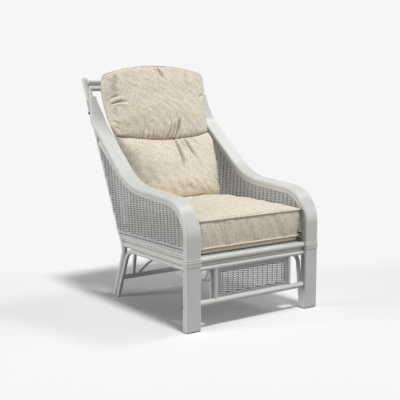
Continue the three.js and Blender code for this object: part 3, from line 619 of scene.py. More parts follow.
def side_line(z, short=0.0):
    """The line of a side pole from behind the leg to the back pole, or short of it."""
    start = Vector((RAIL_START_X, 0, z))
    end = Vector((post_x(z - DROP), post_y(z - DROP), z - DROP))
    return [start.lerp(end, (SLAB_THICK + SEAM) / end.y), start.lerp(end, 1 - short / end.y)]


def arch_line():
    shift = (BACK_R + ARCH_R + SEAM) / math.cos(math.atan((FOOT_Y - KNEE_Y) / KNEE_Z))
    z = ARCH_Z - DROP
    foot, bend = (post_x(FLOOR), leg_y(FLOOR) - shift, FLOOR), (post_x(z), leg_y(z) - shift, z)
    return bent([foot, bend, (RAIL_START_X, SLAB_THICK - 4, ARCH_Z)], [ARCH_BEND])


def back_pole_line():
    top = Vector((TOP_X, POST_Y, POST_Z))
    knee = Vector((post_x(KNEE_Z), KNEE_Y, KNEE_Z))
    up = (top - knee).normalized()
    return bent([(post_x(FLOOR), leg_y(FLOOR), FLOOR), knee, top - up * 0.6 * BACK_R], [BACK_BEND])


def domed(line, radius, seed, dome):
    """A cane with a rounded upper end."""
    a, b = line[-2:]
    up = (b - a).normalized()
    cap = [b + up * (dome * math.sin(t * math.pi / 12)) for t in range(7)]
    radii = [radius * math.cos(t * math.pi / 12) for t in range(6)] + [0.4]
    shaft = cane_data(line, radius, seed, ends=(True, False))
    return joined([shaft, tube_data([b - up * 2] + cap, [radius] + radii, 20)])


def arm_pole_line(across):
    line = face_line(SLAB_THICK + SEAM + ARM_POLE_R)
    kept = [p for p in line if p.z < ARM_POLE_TOP]
    after = line[len(kept)]
    last = kept[-1]
    kept.append(last.lerp(after, (ARM_POLE_TOP - last.z) / (after.z - last.z)))
    return [Vector((across, p.y, p.z)) for p in kept]


def twisted(line, radius, turn, offset):
    """Two strands that twist round each other along a line, one full turn in the length given."""
    points = resampled([Vector(p) for p in line], 3)
    parts = []
    for k in (0, 1):
        path = []
        for p, run, (a, b) in zip(points, runs(points), frames_along(points)):
            angle = 2 * math.pi * (run / turn + k / 2)
            path.append(p + a * (offset * math.cos(angle)) + b * (offset * math.sin(angle)))
        parts.append(tube_data(path, [radius] * len(path), 8))
    return joined(parts)


low_z = SIDE_Z - DROP + SIDE_R + SEAM
top_z = LOW_CREST[0] - LOW_CREST[1] - SEAM - 0.55 * FRONT_R
front_line = [back_point(post_x(z), z, BACK_R + FRONT_R + SEAM) for z in (low_z, top_z)]
cane_pair("outer_arm_cane", arm_pole_line(OUTER_POLE_X), ARM_POLE_R, "arm_pole_outer", 11)
cane_pair("inner_arm_cane", arm_pole_line(INNER_POLE_X), ARM_POLE_R, "arm_pole_inner", 21)
cane_pair("back_cane", back_pole_line(), BACK_R, "back_pole", 31, 0.6 * BACK_R)
cane_pair("front_cane", front_line, FRONT_R, "front_pole", 41, 0.55 * FRONT_R)
cane_pair("arch_cane", arch_line(), ARCH_R, "leg_arch", 51)
cane_pair("side_cane", side_line(SIDE_Z, BACK_R + 1.5), SIDE_R, "side_rail", 61)
cane_pair("strip_cane", side_line(STRIP_Z, BACK_R), SIDE_STRIP_R, "side_strip", 71, sides=12)
cane_pair("panel_cane", side_line(PANEL_RAIL_Z, BACK_R), PANEL_RAIL_R, "panel_rail", 81)

# Woven side panels and their braids

PANEL_REAR_X = post_x(PANEL_LOW) + FRONT_R + SEAM + WEAVE_HALF
PANEL_SLOPE_Y = (PANEL_REAR_X - (SLAB_X - SEAM)) / post_y(PANEL_LOW)
PANEL_TOP_X = post_x(ARM_POLE_TOP) + FRONT_R + SEAM
PANEL_SLOPE_Z = (PANEL_TOP_X - (SLAB_X - SEAM) - PANEL_SLOPE_Y * post_y(ARM_POLE_TOP)) / (ARM_POLE_TOP - PANEL_LOW)


def on_panel(y, z, out=0.0):
    x = SLAB_X - SEAM + PANEL_SLOPE_Y * y + PANEL_SLOPE_Z * (z - PANEL_LOW) + out
    return Vector((x, y, z - DROP * y / KNEE_Y))


def woven_row(start, end, z, row, origin, pitch, place, rng):
    """A strand that passes before one stake and behind the next; neighbouring rows alternate."""
    count = max(2, int(round((end - start) / pitch * SPAN_POINTS)))
    lift = rng.uniform(-0.22, 0.22)
    swell = STRAND_SWELL * rng.uniform(0.94, 1.04)
    path = []
    for i in range(count + 1):
        run = start + (end - start) * i / count
        turn = math.cos(math.pi * ((run - origin) / pitch + row))
        path.append(place(run, z + lift, swell * math.copysign(abs(turn) ** 0.72, turn)))
    return tube_data(path, [STRAND_R] * len(path), 6, flat=STRAND_FLAT)


def stake(path):
    return tube_data(path, [STAKE_R] * len(path), 8)


SIDE_FROM, SIDE_TO = SLAB_THICK + SEAM, post_y(NECK_Z)
SIDE_PITCH = (SIDE_TO - SIDE_FROM) / SIDE_STAKES
UNDER = [(p.z + DROP * p.y / KNEE_Y, p.y) for p in face_line(SLAB_THICK + 3)]


def front_at(z):
    return float(np.interp(z, *zip(*UNDER)))


def rear_at(z):
    return post_y(z - DROP * post_y(z) / KNEE_Y) - 4


def side_weave():
    rng = random.Random(7)
    parts = []
    first = SIDE_FROM + SIDE_PITCH / 2
    for r in range(int((PANEL_TOP - PANEL_LOW) / STRAND_PITCH)):
        z = PANEL_LOW + FIRST_STRAND + r * STRAND_PITCH
        start, end = front_at(z), rear_at(z)
        if end - start > SHORTEST_STRAND:
            parts.append(woven_row(start, end, z, r, first, SIDE_PITCH, on_panel, rng))
    return joined(parts)


def side_stakes():
    parts = []
    for k in range(SIDE_STAKES):
        y = SIDE_FROM + SIDE_PITCH * (k + 0.5)
        heights = [z for z in np.arange(PANEL_LOW, PANEL_TOP, 4.0) if front_at(z) < y < rear_at(z)]
        if len(heights) > 3:
            path = [on_panel(y, z) for z in np.linspace(heights[0] - STAKE_OVER, heights[-1] + STAKE_OVER, 12)]
            parts.append(stake(path))
    return joined(parts)


weave_origin = on_panel(0.0, PANEL_LOW)
level, rise = on_panel(100.0, PANEL_LOW) - weave_origin, on_panel(0.0, PANEL_LOW + 100) - weave_origin
for piece in pair("side_weave", side_weave(), WICKER, "side_panel"):
    painted_weave_shade(piece, weave_origin, level.cross(rise).normalized())
# the stakes are drawn in the dark grey: painted shade between the strands
pair("side_stakes", side_stakes(), SHADED)
ropes = []
for share in (0.25, 0.75):
    z = BRAID_LOW + BRAID_H * share
    ropes.append([on_panel(SLAB_THICK + 2, z), on_panel(post_y(BRAID_LOW) - 6, z)])
turns = (-BRAID_TURN, BRAID_TURN)
cords = joined([twisted(rope, BRAID_CORD_R, turn, BRAID_OFFSET) for rope, turn in zip(ropes, turns)])
for piece in pair("side_braid_cords", cords, WICKER, "side_braid"):
    painted_rope_shade(piece, ropes, BRAID_CORD_R + BRAID_OFFSET)

# Braces and posts; the solids' poles have flats, 12 round the rails and 10 round the thinner poles

flat_r = BRACE_R * math.cos(math.pi / 10)
brace_y = SLAB_THICK + SEAM + 2 * ARM_POLE_R + SEAM + flat_r
foot = Vector((LEG_INSIDE + BRACE_FOOT_X, brace_y, 0))
knee = Vector((LEG_INSIDE + BRACE_KNEE_X, brace_y, BRACE_KNEE_Z))
start = knee + (foot - knee) * ((BRACE_KNEE_Z - FLOOR) / BRACE_KNEE_Z)
line = bent([start, knee, (PANEL_POST_X, brace_y, BRACE_TOP_Z)], [BRACE_BEND])
line[-1] = line[-2].lerp(line[-1], 1 - PANEL_POST_R / (line[-1] - line[-2]).length)
cane_pair("brace_cane", line, BRACE_R, "front_brace", 91)
line = [(PANEL_POST_X, RAIL_Y, STRETCHER[0]), (PANEL_POST_X, RAIL_Y, SECOND_RAIL[0])]
cane_pair("panel_post_cane", line, PANEL_POST_R, "panel_post", 101)
panel_back_y = RAIL_Y + TOP_RAIL[1] * math.cos(math.pi / 12) + SEAM + flat_r
line = [(PANEL_POST_X, panel_back_y, z) for z in PANEL_BACK_ENDS]
cane_pair("panel_back_cane", line, PANEL_POST_R, "panel_back_post", 111)
low, high = REAR_STRETCHER[0], REAR_RAIL[0]
line = [(REAR_POST_X, leg_y(low), low), (REAR_POST_X + SPREAD * high, post_y(high), high)]
cane_pair("rear_post_cane", line, REAR_POST_R, "rear_post", 121)

# Cross pieces: name, node, depth, height, radius, half length


def back_reach(z):
    return post_x(z) - BACK_SHORT


half = LEG_INSIDE - SEAM
strip_low = SECOND_RAIL[0] + SECOND_RAIL[1] + SEAM
strip_high = TOP_RAIL[0] - TOP_RAIL[1] - SEAM
strip_z = (CREST[0] - CREST[1] + LOW_CREST[0] + LOW_CREST[1]) / 2
lead = CREST_LEAD / math.cos(RAKE)
strip_lead = CREST_STRIP_LEAD / math.cos(RAKE)
strip_reach = back_reach(round(strip_z))
for seed, (name, node, y, z, radius, reach) in enumerate((
    ("top_rail_cane", "front_top_rail", RAIL_Y, *TOP_RAIL, half),
    ("front_strip_cane", "front_strip", RAIL_Y, (strip_low + strip_high) / 2, (strip_high - strip_low) / 2, half),
    ("second_rail_cane", "front_second_rail", RAIL_Y, *SECOND_RAIL, half),
    ("stretcher_cane", "front_stretcher", RAIL_Y, *STRETCHER, half),
    ("rear_rail_cane", "rear_rail", post_y(high), *REAR_RAIL, post_x(high) - REAR_SHORT),
    ("rear_stretcher_cane", "rear_stretcher", leg_y(low), *REAR_STRETCHER, post_x(low) - REAR_SHORT),
    ("crest_cane", "crest_rail_upper", post_y(CREST[0]) - lead, *CREST, back_reach(CREST[0])),
    ("crest_strip_cane", "crest_strip", post_y(strip_z) - strip_lead, strip_z, CREST_STRIP_R, strip_reach),
    ("low_crest_cane", "crest_rail_lower", post_y(LOW_CREST[0]) - lead, *LOW_CREST, back_reach(LOW_CREST[0])),
    ("back_rail_cane", "back_rail_lower", post_y(BACK_RAIL[0]), *BACK_RAIL, back_reach(BACK_RAIL[0])),
), 201):
    cane(name, [(-reach, y, z), (reach, y, z)], radius, node, seed)
for i in range(SPINDLES):
    share = (i - SPINDLES // 2) / 3
    ends = [(share * post_x(z), post_y(z) - ahead, z) for z, ahead in ((BACK_RAIL[0], 0), (LOW_CREST[0], lead))]
    cane(f"spindle_cane_{i + 1}", ends, SPINDLE_R, f"back_spindle_{i + 1}", 220 + i, sides=16)
arch = [(x, leg_y(z), z) for x, z in ((REAR_ARCH_FOOT_X, low), (REAR_ARCH_X, REAR_ARCH_Z))]
arch = [(-x, y, z) for x, y, z in arch] + arch[::-1]
cane("rear_arch_cane", bent(arch, [REAR_ARCH_BEND] * 2), REAR_ARCH_R, "rear_arch", 230, sides=14)

# Front panel

panel_half = PANEL_POST_X - PANEL_POST_R - SEAM
panel_low = STRETCHER[0] + STRETCHER[1] + SEAM
panel_high = SECOND_RAIL[0] - SECOND_RAIL[1] - SEAM


def loop(inset, radius, before=0.0, sides=8):
    """A cane bent round the panel at a distance from its edge."""
    x, low, high = panel_half - inset, panel_low + inset, panel_high - inset
    corners = [(0, low), (x, low), (x, high), (-x, high), (-x, low), (0, low)]
    line = resampled(bent([(x, RAIL_Y, z) for x, z in corners], [2.0] * 4), 4)[:-1]
    return tube_data([p - Vector((0, before, 0)) for p in line], [radius] * len(line), sides, closed=True)


edge, low, high = panel_half - ROPE_INSET, panel_low + ROPE_INSET, panel_high - ROPE_INSET
ropes = [[(-edge, RAIL_Y, z), (edge, RAIL_Y, z)] for z in (low, high)]
ropes += [[(x, RAIL_Y, low), (x, RAIL_Y, high)] for x in (-edge, edge)]
cords = joined([twisted(rope, ROPE_R, ROPE_TURN, ROPE_OFFSET) for rope in ropes] + [loop(9.4, 2.3, sides=10)])
border = dressed("front_border_cords", cords, WICKER, ["front_border"])
painted_rope_shade(border, ropes, ROPE_R + ROPE_OFFSET)
# dark loops in the grooves beside the border cords: painted shadow lines
dressed("front_border_painted_shadow", joined([loop(6.5, 1.3, 2.0), loop(13.9, 2.6, 0.8)]), SHADED)


def on_front(x, z, out=0.0):
    return Vector((x, RAIL_Y - out, z))


rng = random.Random(19)
inner, low, high = panel_half - FRONT_BORDER[0], panel_low + FRONT_BORDER[1], panel_high - FRONT_BORDER[2]
pitch = 2 * inner / FRONT_STAKES
rows = int(round((high - low) / STRAND_PITCH))
strands, stakes = [], []
for r in range(rows + 1):
    z = low + r * (high - low) / rows
    strands.append(woven_row(-inner - 2, inner + 2, z, r, pitch / 2 - inner, pitch, on_front, rng))
for k in range(FRONT_STAKES):
    x = pitch * (k + 0.5) - inner
    stakes.append(stake([on_front(x, z) for z in np.linspace(low - STAKE_OVER, high + STAKE_OVER, 6)]))
# the stakes are drawn in the dark grey: painted shade between the strands
dressed("front_stakes", joined(stakes), SHADED)
weave = dressed("front_weave_strands", joined(strands), SHADED_FRONT_WICKER, ["front_weave"])
painted_weave_shade(weave, (0, RAIL_Y, 0), (0, -1, 0))

# Bands round the front legs and bindings round the back poles


def strip_ring(path, height, thick, closed=False):
    """A flat cane strip that follows a level path with its rounded face outwards."""
    rings = []
    for p, along in zip(path, tangents(path, closed)):
        out = along.cross(Vector((0, 0, 1))).normalized()
        up = out.cross(along).normalized()
        rings.append([point(*(p + out * (thick * c) + up * (height / 2 * s))) for c, s in circle(8)])
    return skin_data(rings, closed)


OUT = 1.1  # how far the middle of a leg band's strips lies before the slab
BAND_STRIPS = ((263, 268.2), (268.6, 273.8), (274.3, 287), (287.4, 293))  # lower and upper edges
strips = []
for low, high in BAND_STRIPS:
    z = (low + high) / 2
    ends = (LEG_INSIDE - OUT, WIDTH / 2 + OUT)
    corners = [(ends[0], SLAB_THICK + 1, z), (ends[0], -OUT, z), (ends[1], -OUT, z), (ends[1], SLAB_THICK + 1, z)]
    strips.append(strip_ring(resampled(bent(corners, [6.5, 6.5]), 3), high - low, 0.95))
pair("leg_band_strips", joined(strips), PAINT, "leg_band")

BINDING = (848, 896, 7)  # lower end, upper end, turns
GAP = 1.2  # from the poles' surface to the middle of the strip
strips = []
for k in range(BINDING[2]):
    z = BINDING[0] + (BINDING[1] - BINDING[0]) * (k + 0.5) / BINDING[2]
    path = []
    for c, s in circle(48):
        if s > 0:
            x, ahead = ((FRONT_R + BACK_R) / 2 + GAP) * c, BACK_R + FRONT_R + (FRONT_R + GAP) * s
        else:
            x, ahead = (BACK_R + GAP) * c, (BACK_R + GAP) * s
        path.append(back_point(post_x(z) + x, z, ahead))
    strips.append(strip_ring(path, 7.4, 1.1, closed=True))
pair("tip_binding_strips", joined(strips), PAINT, "tip_binding")

# Black bolt heads on the rear of the back poles, and paint-filled plugs on the outer arm poles, drawn as dark dots
# in the grey that paints shade

BOLT_Z = 842


def button(centre, direction, radius, height, sides=20):
    direction = Vector(direction).normalized()
    line = [centre + direction * h for h in (-1.0, 0.0, height * 0.5, height * 0.85, height)]
    return tube_data(line, [radius, radius, radius * 0.9, radius * 0.6, 0.3], sides)


rearward = Vector((0.9, 1, -SLOPE)).normalized()
head = button(Vector((post_x(BOLT_Z), post_y(BOLT_Z), BOLT_Z)) + rearward * BACK_R, rearward, 8, 7.5)
pair("post_bolt", head, BLACK)
plug_at = Vector((OUTER_POLE_X + ARM_POLE_R - 0.6, SLAB_THICK + SEAM + ARM_POLE_R, 0))
plugs = [button(plug_at + Vector((0, 0, rail[0])), (1, 0, 0), 3.2, 0.9) for rail in (SECOND_RAIL, STRETCHER)]
pair("screw_plugs", joined(plugs), SHADED)

# Pieces shown by their own solids
shown = {f"glide_{place}_{label}": RUBBER for place in ("front", "rear") for label in SIDES}
for name, material in (*shown.items(), ("seat_deck", PAINT)):
    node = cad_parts[name]
    node.data.materials.clear()
    node.data.materials.append(material)

# Cushions


def catmull(rows, share):
    """Smooth values between the rows of a table, at a share of its length."""
    x = share * (len(rows) - 1)
    i = min(len(rows) - 2, int(x))
    t = x - i
    p = [np.array(rows[max(0, min(len(rows) - 1, i + k))], float) for k in (-1, 0, 1, 2)]
    return 0.5 * (2 * p[1] + (p[2] - p[0]) * t + (2 * p[0] - 5 * p[1] + 4 * p[2] - p[3]) * t**2
                  + (3 * p[1] - p[0] - 3 * p[2] + p[3]) * t**3)


BACK_LEAD = 90  # how far before the back poles the heights of the rows are measured
# Rows of the back cushion: height, half width, swell before, swell behind, bow, lead of its edge
BACK_ROWS = [
    (436, 213, 66, 36, 0, 88), (440, 224, 88, 44, 0, 87),
    (452, 231, 103, 50, 0, 86), (480, 236, 108, 54, 0, 85),
    (530, 241, 108, 54, -3, 85), (580, 246, 105, 53, -7, 85),
    (630, 252, 97, 51, -14, 84), (671, 257, 87, 49, -22, 83),
    (702, 259, 77, 46, -29, 81), (725, 258, 64, 43, -34, 78),
    (742, 255, 48, 40, -36, 74), (758, 257, 66, 36, -34, 69),
    (780, 261, 82, 30, -25, 63), (808, 267, 88, 27, -12, 60),
    (842, 273, 85, 27, 1, 60), (888, 281, 76, 31, 12, 64),
    (928, 285, 63, 36, 23, 71), (958, 285, 50, 38, 30, 80),
    (985, 282, 37, 32, 34, 88), (1002, 276, 25, 22, 36, 94),
    (1010, 266, 14, 13, 36, 97),
]
SEAM_Z, SEAM_HALF, SEAM_BOW = 742, 258, -36  # of the gathered seam: height, half width, bow
TOP_HALF, TOP_BOW = 267, 36
PIPING_R = 2.9
CLOTH_FRAMES = 20
DEEPEST = 9  # depth at which the hollows count as full, their painted shade darkest
FORWARD = Vector((0, -math.cos(RAKE), math.sin(RAKE)))
UP_BACK = Vector((0, math.sin(RAKE), math.cos(RAKE)))


def back_at(row, angle, shrink=0.0):
    height, half, before, behind, bow, edge_lead = row
    half -= shrink
    plane = height - BACK_LEAD * math.sin(RAKE)
    c, s = math.cos(angle), math.sin(angle)
    power = 2.5 if s > 0 else 3.2
    x = math.copysign(half * abs(c) ** (2 / power), c)
    swell = max(2.0, before - shrink) if s > 0 else -max(2.0, behind - shrink)
    z = plane + bow * (1 - (x / (half + 3)) ** 2)
    return back_point(x, z, 0) + FORWARD * (edge_lead + swell * abs(s) ** (2 / power))


def back_ring(row, turns, shrink=0.0):
    return [back_at(row, 2 * math.pi * k / turns, shrink) for k in range(turns)]


SEAT_X, SEAT_FRONT, SEAT_CORNER = LEG_INSIDE - 4, 24, 16
LOW_SEAM, HIGH_SEAM = 324.5, 437
SEAT_DEPTH = post_y(LOW_SEAM) - 28 - SEAT_FRONT
SEAT_MIDDLE = SEAT_FRONT + SEAT_DEPTH / 2


def seat_crown(x, y, crown=25):
    across = min(1.0, abs(x) / SEAT_X)
    along = (y - SEAT_MIDDLE) / (SEAT_DEPTH / 2)
    fullness = max(0.0, (1 - across**3) * (1 - min(1.0, abs(along)) ** 6))
    fall = 1 - 0.22 * smooth((along + 0.2) / 1.2)
    return HIGH_SEAM + 3.2 + crown * fullness**0.6 * fall


def seat_ring(inset, height, per_side=22, per_corner=8):
    """A ring round the seat cushion with rounded corners; height gives z for x and y."""
    half_x, half_y = SEAT_X - inset, SEAT_DEPTH / 2 - inset
    radius = min(half_x, half_y, SEAT_CORNER + inset * 0.4) * 0.98

    def at_corner(number, turn):
        sx, sy = ((1, 1), (-1, 1), (-1, -1), (1, -1))[number % 4]
        angle = turn * math.pi
        return sx * (half_x - radius) + radius * math.cos(angle), sy * (half_y - radius) + radius * math.sin(angle)

    ring = []
    for number in range(4):
        start = 0.5 * number
        for k in range(per_corner + 1):
            ring.append(at_corner(number, start + 0.5 * k / per_corner))
        a, b = ring[-1], at_corner(number + 1, start + 0.5)
        for k in range(1, per_side):
            ring.append((a[0] + (b[0] - a[0]) * k / per_side, a[1] + (b[1] - a[1]) * k / per_side))
    return [Vector((x, y + SEAT_MIDDLE, height(x, y + SEAT_MIDDLE))) for x, y in ring]


# Rows of the seat cushion under its crown: height, inset
SEAT_ROWS = [
    (297.6, 60), (298.4, 36), (300.5, 20), (304, 12), (309, 8), (315, 7), (320, 7.5), (LOW_SEAM, 9), (330, 7),
    (341, 5), (352, 4), (366, 3), (381, 2.2), (396, 1.8), (410, 1.6), (422, 2), (431, 2.6), (HIGH_SEAM, 3),
]


def seat_mesh():
    rings = [seat_ring(inset, lambda x, y, z=z: z) for z, inset in SEAT_ROWS]
    for inset in (6, 10, 16, 24, 34, 46, 60, 78, 100, 126, 156, 190, 225, 255):
        rings.append(seat_ring(inset, seat_crown))
    return skin_data([[point(*p) for p in ring] for ring in rings])


def back_mesh():
    count = 110
    rings = [back_ring(catmull(BACK_ROWS, r / count), 120, 0.5) for r in range(count + 1)]
    return skin_data([[point(*p) for p in ring] for ring in rings])


def seat_piping(z, inset):
    ring = seat_ring(inset, lambda x, y: z)
    line = resampled(ring + [ring[0]], 5)[:-1]
    return tube_data(line, [PIPING_R] * len(line), 10, closed=True)


def back_piping():
    """The piped edge: up one side of the back cushion, over its top and down the other side."""
    rows = [catmull(BACK_ROWS, 0.06 + 0.94 * r / 90) for r in range(91)]
    right = [back_at(row, 0.0) for row in rows]
    left = [back_at(row, math.pi) for row in reversed(rows)]
    top = rows[-1]
    over = [back_at(top, math.pi * k / 24) - UP_BACK * 1.2 for k in range(1, 24)]
    line = resampled(right + over + left, 5)
    return tube_data(line, [PIPING_R] * len(line), 10)


def evaluated_copy(piece):
    graph = bpy.context.evaluated_depsgraph_get()
    mesh = bpy.data.meshes.new_from_object(piece.evaluated_get(graph))
    piece.modifiers.clear()
    old = piece.data
    piece.data = mesh
    bpy.data.meshes.remove(old)
    smoothed(mesh)


def stuffed(piece, voxel, pressure, cap, freedom):
    """Puffs a cushion under its own filling; freedom says how freely each point may move, 0 to 1."""
    remesh = piece.modifiers.new("remesh", "REMESH")
    remesh.mode = "VOXEL"
    remesh.voxel_size = voxel
    evaluated_copy(piece)
    start = vectors(piece.data, "co")
    free = freedom(in_chair(start))
    held = piece.vertex_groups.new(name="held")
    for i, share in enumerate(free):
        if share < 1:
            held.add([i], float(1 - share), "REPLACE")
    cloth = piece.modifiers.new("cloth", "CLOTH")
    for name, value in (
        ("vertex_group_mass", "held"), ("quality", 3), ("mass", 0.3), ("tension_stiffness", 14),
        ("compression_stiffness", 14), ("shear_stiffness", 6), ("bending_stiffness", 0.5),
        ("use_pressure", True), ("uniform_pressure_force", pressure),
    ):
        setattr(cloth.settings, name, value)
    cloth.settings.effector_weights.gravity = 0
    cloth.collision_settings.use_collision = False
    cloth.point_cache.frame_start = 1
    cloth.point_cache.frame_end = CLOTH_FRAMES
    for number in range(1, CLOTH_FRAMES + 1):
        scene.frame_set(number)
    graph = bpy.context.evaluated_depsgraph_get()
    puffed = vectors(piece.evaluated_get(graph).data, "co")
    piece.modifiers.clear()
    piece.vertex_groups.clear()
    scene.frame_set(1)
    move = puffed - start
    length = np.linalg.norm(move, axis=1)[:, None] + 1e-9
    move *= np.minimum(1.0, cap / length)
    set_coordinates(piece.data, start + move)
    finer = piece.modifiers.new("finer", "SUBSURF")
    finer.levels = finer.render_levels = 1
    evaluated_copy(piece)


def waves(points, size, seed, count=10):
    """A soft random field with features of about the size given."""
    rng = np.random.default_rng(seed)
    total = np.zeros(len(points))
    for _ in range(count):
        direction = rng.normal(size=3)
        direction *= rng.uniform(0.6, 1.5) / (size * np.linalg.norm(direction))
        total += np.sin(2 * math.pi * (points @ direction) + rng.uniform(0, 6.28))
    return total / math.sqrt(count / 2)


def crease(a, b, start, end, width, depth, bend=0.0, ridge=0.35):
    """A fold line across a face: a groove with a low swelling beside it, fading towards its ends."""
    start, end = np.array(start, float), np.array(end, float)
    along = end - start
    length = np.linalg.norm(along)
    along /= length
    t = ((a - start[0]) * along[0] + (b - start[1]) * along[1]) / length
    off = (a - start[0]) * -along[1] + (b - start[1]) * along[0] - bend * (1 - (2 * t - 1) ** 2)
    fade = step(t, -0.08, 0.12) * (1 - step(t, 0.5, 1.05))
    wide = width * (0.8 + 0.9 * np.clip(t, 0, 1))
    groove = -np.exp(-((off / wide) ** 2))
    beside = sum(np.exp(-(((off + side * wide) / (1.3 * wide)) ** 2)) for side in (-2.1, 2.1))
    return depth * fade * (groove + ridge * beside)


def back_places(points):
    """Across, above the gathered seam, before the back poles and below the top, for points of the back cushion."""
    lead = (KNEE_Y + SLOPE * (points[:, 2] - KNEE_Z) - points[:, 1]) * math.cos(RAKE)
    plane = points[:, 2] - lead * math.sin(RAKE)
    x = points[:, 0]
    rise = BACK_LEAD * math.sin(RAKE)
    from_top = BACK_ROWS[-1][0] - plane - rise + TOP_BOW * (1 - np.clip(x / TOP_HALF, -1, 1) ** 2)
    seam_here = SEAM_Z - rise + SEAM_BOW * (1 - np.clip(x / SEAM_HALF, -1, 1) ** 2)
    return x, plane - seam_here, lead, from_top


def back_freedom(points):
    x, u, lead, from_top = back_places(points)
    near_seam = step(np.abs(u), 3, 26)
    edge = np.interp(points[:, 2], [row[0] for row in BACK_ROWS], [row[5] for row in BACK_ROWS])
    near_edge = step(np.abs(lead - edge), 6, 18) * step(from_top, 8, 60)
    front = step(lead, 84, 100)
    return np.clip(np.minimum(near_seam, near_edge) * (0.35 + 0.65 * front), 0, 1)


def back_relief(points):
    x, u, lead, from_top = back_places(points)
    front = step(lead, 74, 96) * step(from_top, 2, 26)
    # the gathered seam
    relief = -DEEPEST * np.exp(-((u / 3.6) ** 2)) * step(lead, 60, 84)
    # gathers above the seam, fanned out towards the right, and shorter ones below it
    lean = np.interp(x - 0.45 * u, [-260, -173, -90, 20, 86, 137, 200], [0.15, 0.2, 0.29, 0.48, 0.85, 1.3, 1.4])
    foot = x - lean * np.clip(u, -10, 90)
    phase = np.interp(foot, [-260, -12, 60, 140, 260], [-13.6, 0.0, 3.6, 9.4, 16.4])
    phase = phase + 0.22 * np.sin(foot / 13.0) + 0.18 * np.sin(foot / 29.0 + 1.0)
    rib = 0.34 - np.abs(np.cos(math.pi * phase)) ** 5
    strength = np.interp(
        foot, [-240, -185, -150, -60, 0, 50, 70, 140, 175], [0, 0.25, 0.8, 1, 1.5, 1.5, 0.9, 0.8, 0]
    )
    reach = np.interp(foot, [-200, -60, 10, 60, 150], [34, 44, 46, 26, 20]) * (1 + 0.3 * np.sin(foot / 8.3))
    above = np.where(u > 0, np.exp(-((np.abs(u) / reach) ** 1.5)) * step(u, 0.5, 7), 0.0)
    below = np.where(u <= 0, np.exp(-np.abs(u) / 15) * step(-u, 0.5, 7), 0.0)
    relief += front * strength * rib * (8.5 * above + 3.0 * below)
    # long folds
    for fold in BACK_FOLDS:
        relief += front * crease(x, u, *fold)
    # the lumbar half swells up to the seam
    broad = front * 3.0 * np.exp(-(((u + 16) / 11) ** 2)) * step(240 - np.abs(x), 0, 40)
    broad += front * (1.5 * waves(points, 95, 3) + 0.7 * waves(points, 38, 4))
    return relief, broad


# Long folds of the back cushion: from, to (across, above the seam), width, depth, bend
BACK_FOLDS = [
    ((22, 2), (60, 88), 5.5, 19, -6), ((2, 4), (36, 84), 5, 9, -6),
    ((-18, 4), (14, 78), 5, 9, -6), ((-262, 134), (-184, 154), 4, 7.5, 6),
    ((-262, 158), (-214, 180), 3.6, 3.5, 3), ((-222, 270), (-246, 140), 13, 5, -6),
    ((-250, 120), (-256, 60), 8, 3, 4), ((6, 344), (28, 266), 5.5, 9.5, -4),
    ((-14, 342), (-6, 292), 4.5, 3, 0), ((160, 300), (132, 200), 7, 3, 4),
    ((262, 168), (214, 160), 5, 4, -3), ((240, 60), (206, 84), 4.5, 3.5, -2),
    ((10, -8), (-12, -158), 6.5, 11, 5), ((40, -8), (36, -84), 5, 3, -3),
    ((62, -8), (94, -122), 6, 10, -5), ((110, -8), (140, -70), 5, 3, -3),
    ((-60, -8), (-72, -60), 5, 2, 0), ((-262, 66), (-236, 34), 4.5, 4, 3),
    ((-262, 44), (-240, 16), 4, 3, 2), ((-256, -4), (-206, -14), 4.5, 5, 3),
    ((214, -250), (170, -200), 6, 3.5, -3), ((-222, -240), (-180, -200), 6, 3.5, 3),
]


def seat_freedom(points):
    low, high = np.abs(points[:, 2] - LOW_SEAM), np.abs(points[:, 2] - HIGH_SEAM)
    rim = np.maximum(np.abs(points[:, 0]) - (SEAT_X - 8), np.abs(points[:, 1] - SEAT_MIDDLE) - (SEAT_DEPTH / 2 - 8))
    at_rim = step(rim, -14, 0)
    near = np.minimum(step(low, 2, 16), step(high, 2, 16))
    side = 0.3 + 0.7 * step(points[:, 2], 300, 330)
    return np.clip((1 - at_rim * (1 - near)) * side, 0, 1)


def seat_relief(points):
    x, y, z = points[:, 0], points[:, 1] - SEAT_MIDDLE, points[:, 2]
    top = step(z, HIGH_SEAM + 3, HIGH_SEAM + 14)
    border = 1 - step(z, HIGH_SEAM - 12, HIGH_SEAM - 3)
    relief = top * (1.6 * waves(points, 130, 11) + 0.6 * waves(points, 48, 12))
    wall = border * step(z, LOW_SEAM + 3, LOW_SEAM + 14)
    relief += wall * waves(points * np.array([1, 1, 0.35]), 42, 13)
    relief += wall * 0.25 * waves(points * np.array([1, 1, 0.5]), 22, 14)
    # small puckers where the top panel meets the piping
    around = np.where(np.abs(x) / SEAT_X > np.abs(y) / (SEAT_DEPTH / 2), y, x)
    rim = np.exp(-((z - HIGH_SEAM - 6) / 7) ** 2)
    relief += 0.7 * rim * np.sin(around / 4.3 + 1.7 * np.sin(around / 19))
    # painted shade along both pipings and under the lower seam: it darkens the cover there but doesn't move it, as
    # the broad part gives its depth back
    by_piping = np.exp(-(((z - HIGH_SEAM + 1.5) / 3.5) ** 2)) + np.exp(-(((z - LOW_SEAM + 5) / 4) ** 2))
    shade_depth = DEEPEST * np.clip(by_piping + 0.5 * (1 - step(z, 300, LOW_SEAM - 4)), 0, 1)
    return -shade_depth, relief + shade_depth


def carved(piece, relief):
    """Moves the points by a relief, of which the fine part also says where the hollows are, for painted shade
    there.
    """
    at = vectors(piece.data, "co")
    fine, broad = relief(in_chair(at))
    set_coordinates(piece.data, at + vectors(piece.data, "normal") * ((fine + broad) * MM)[:, None])
    with_painted_shade(piece, -fine / DEEPEST)


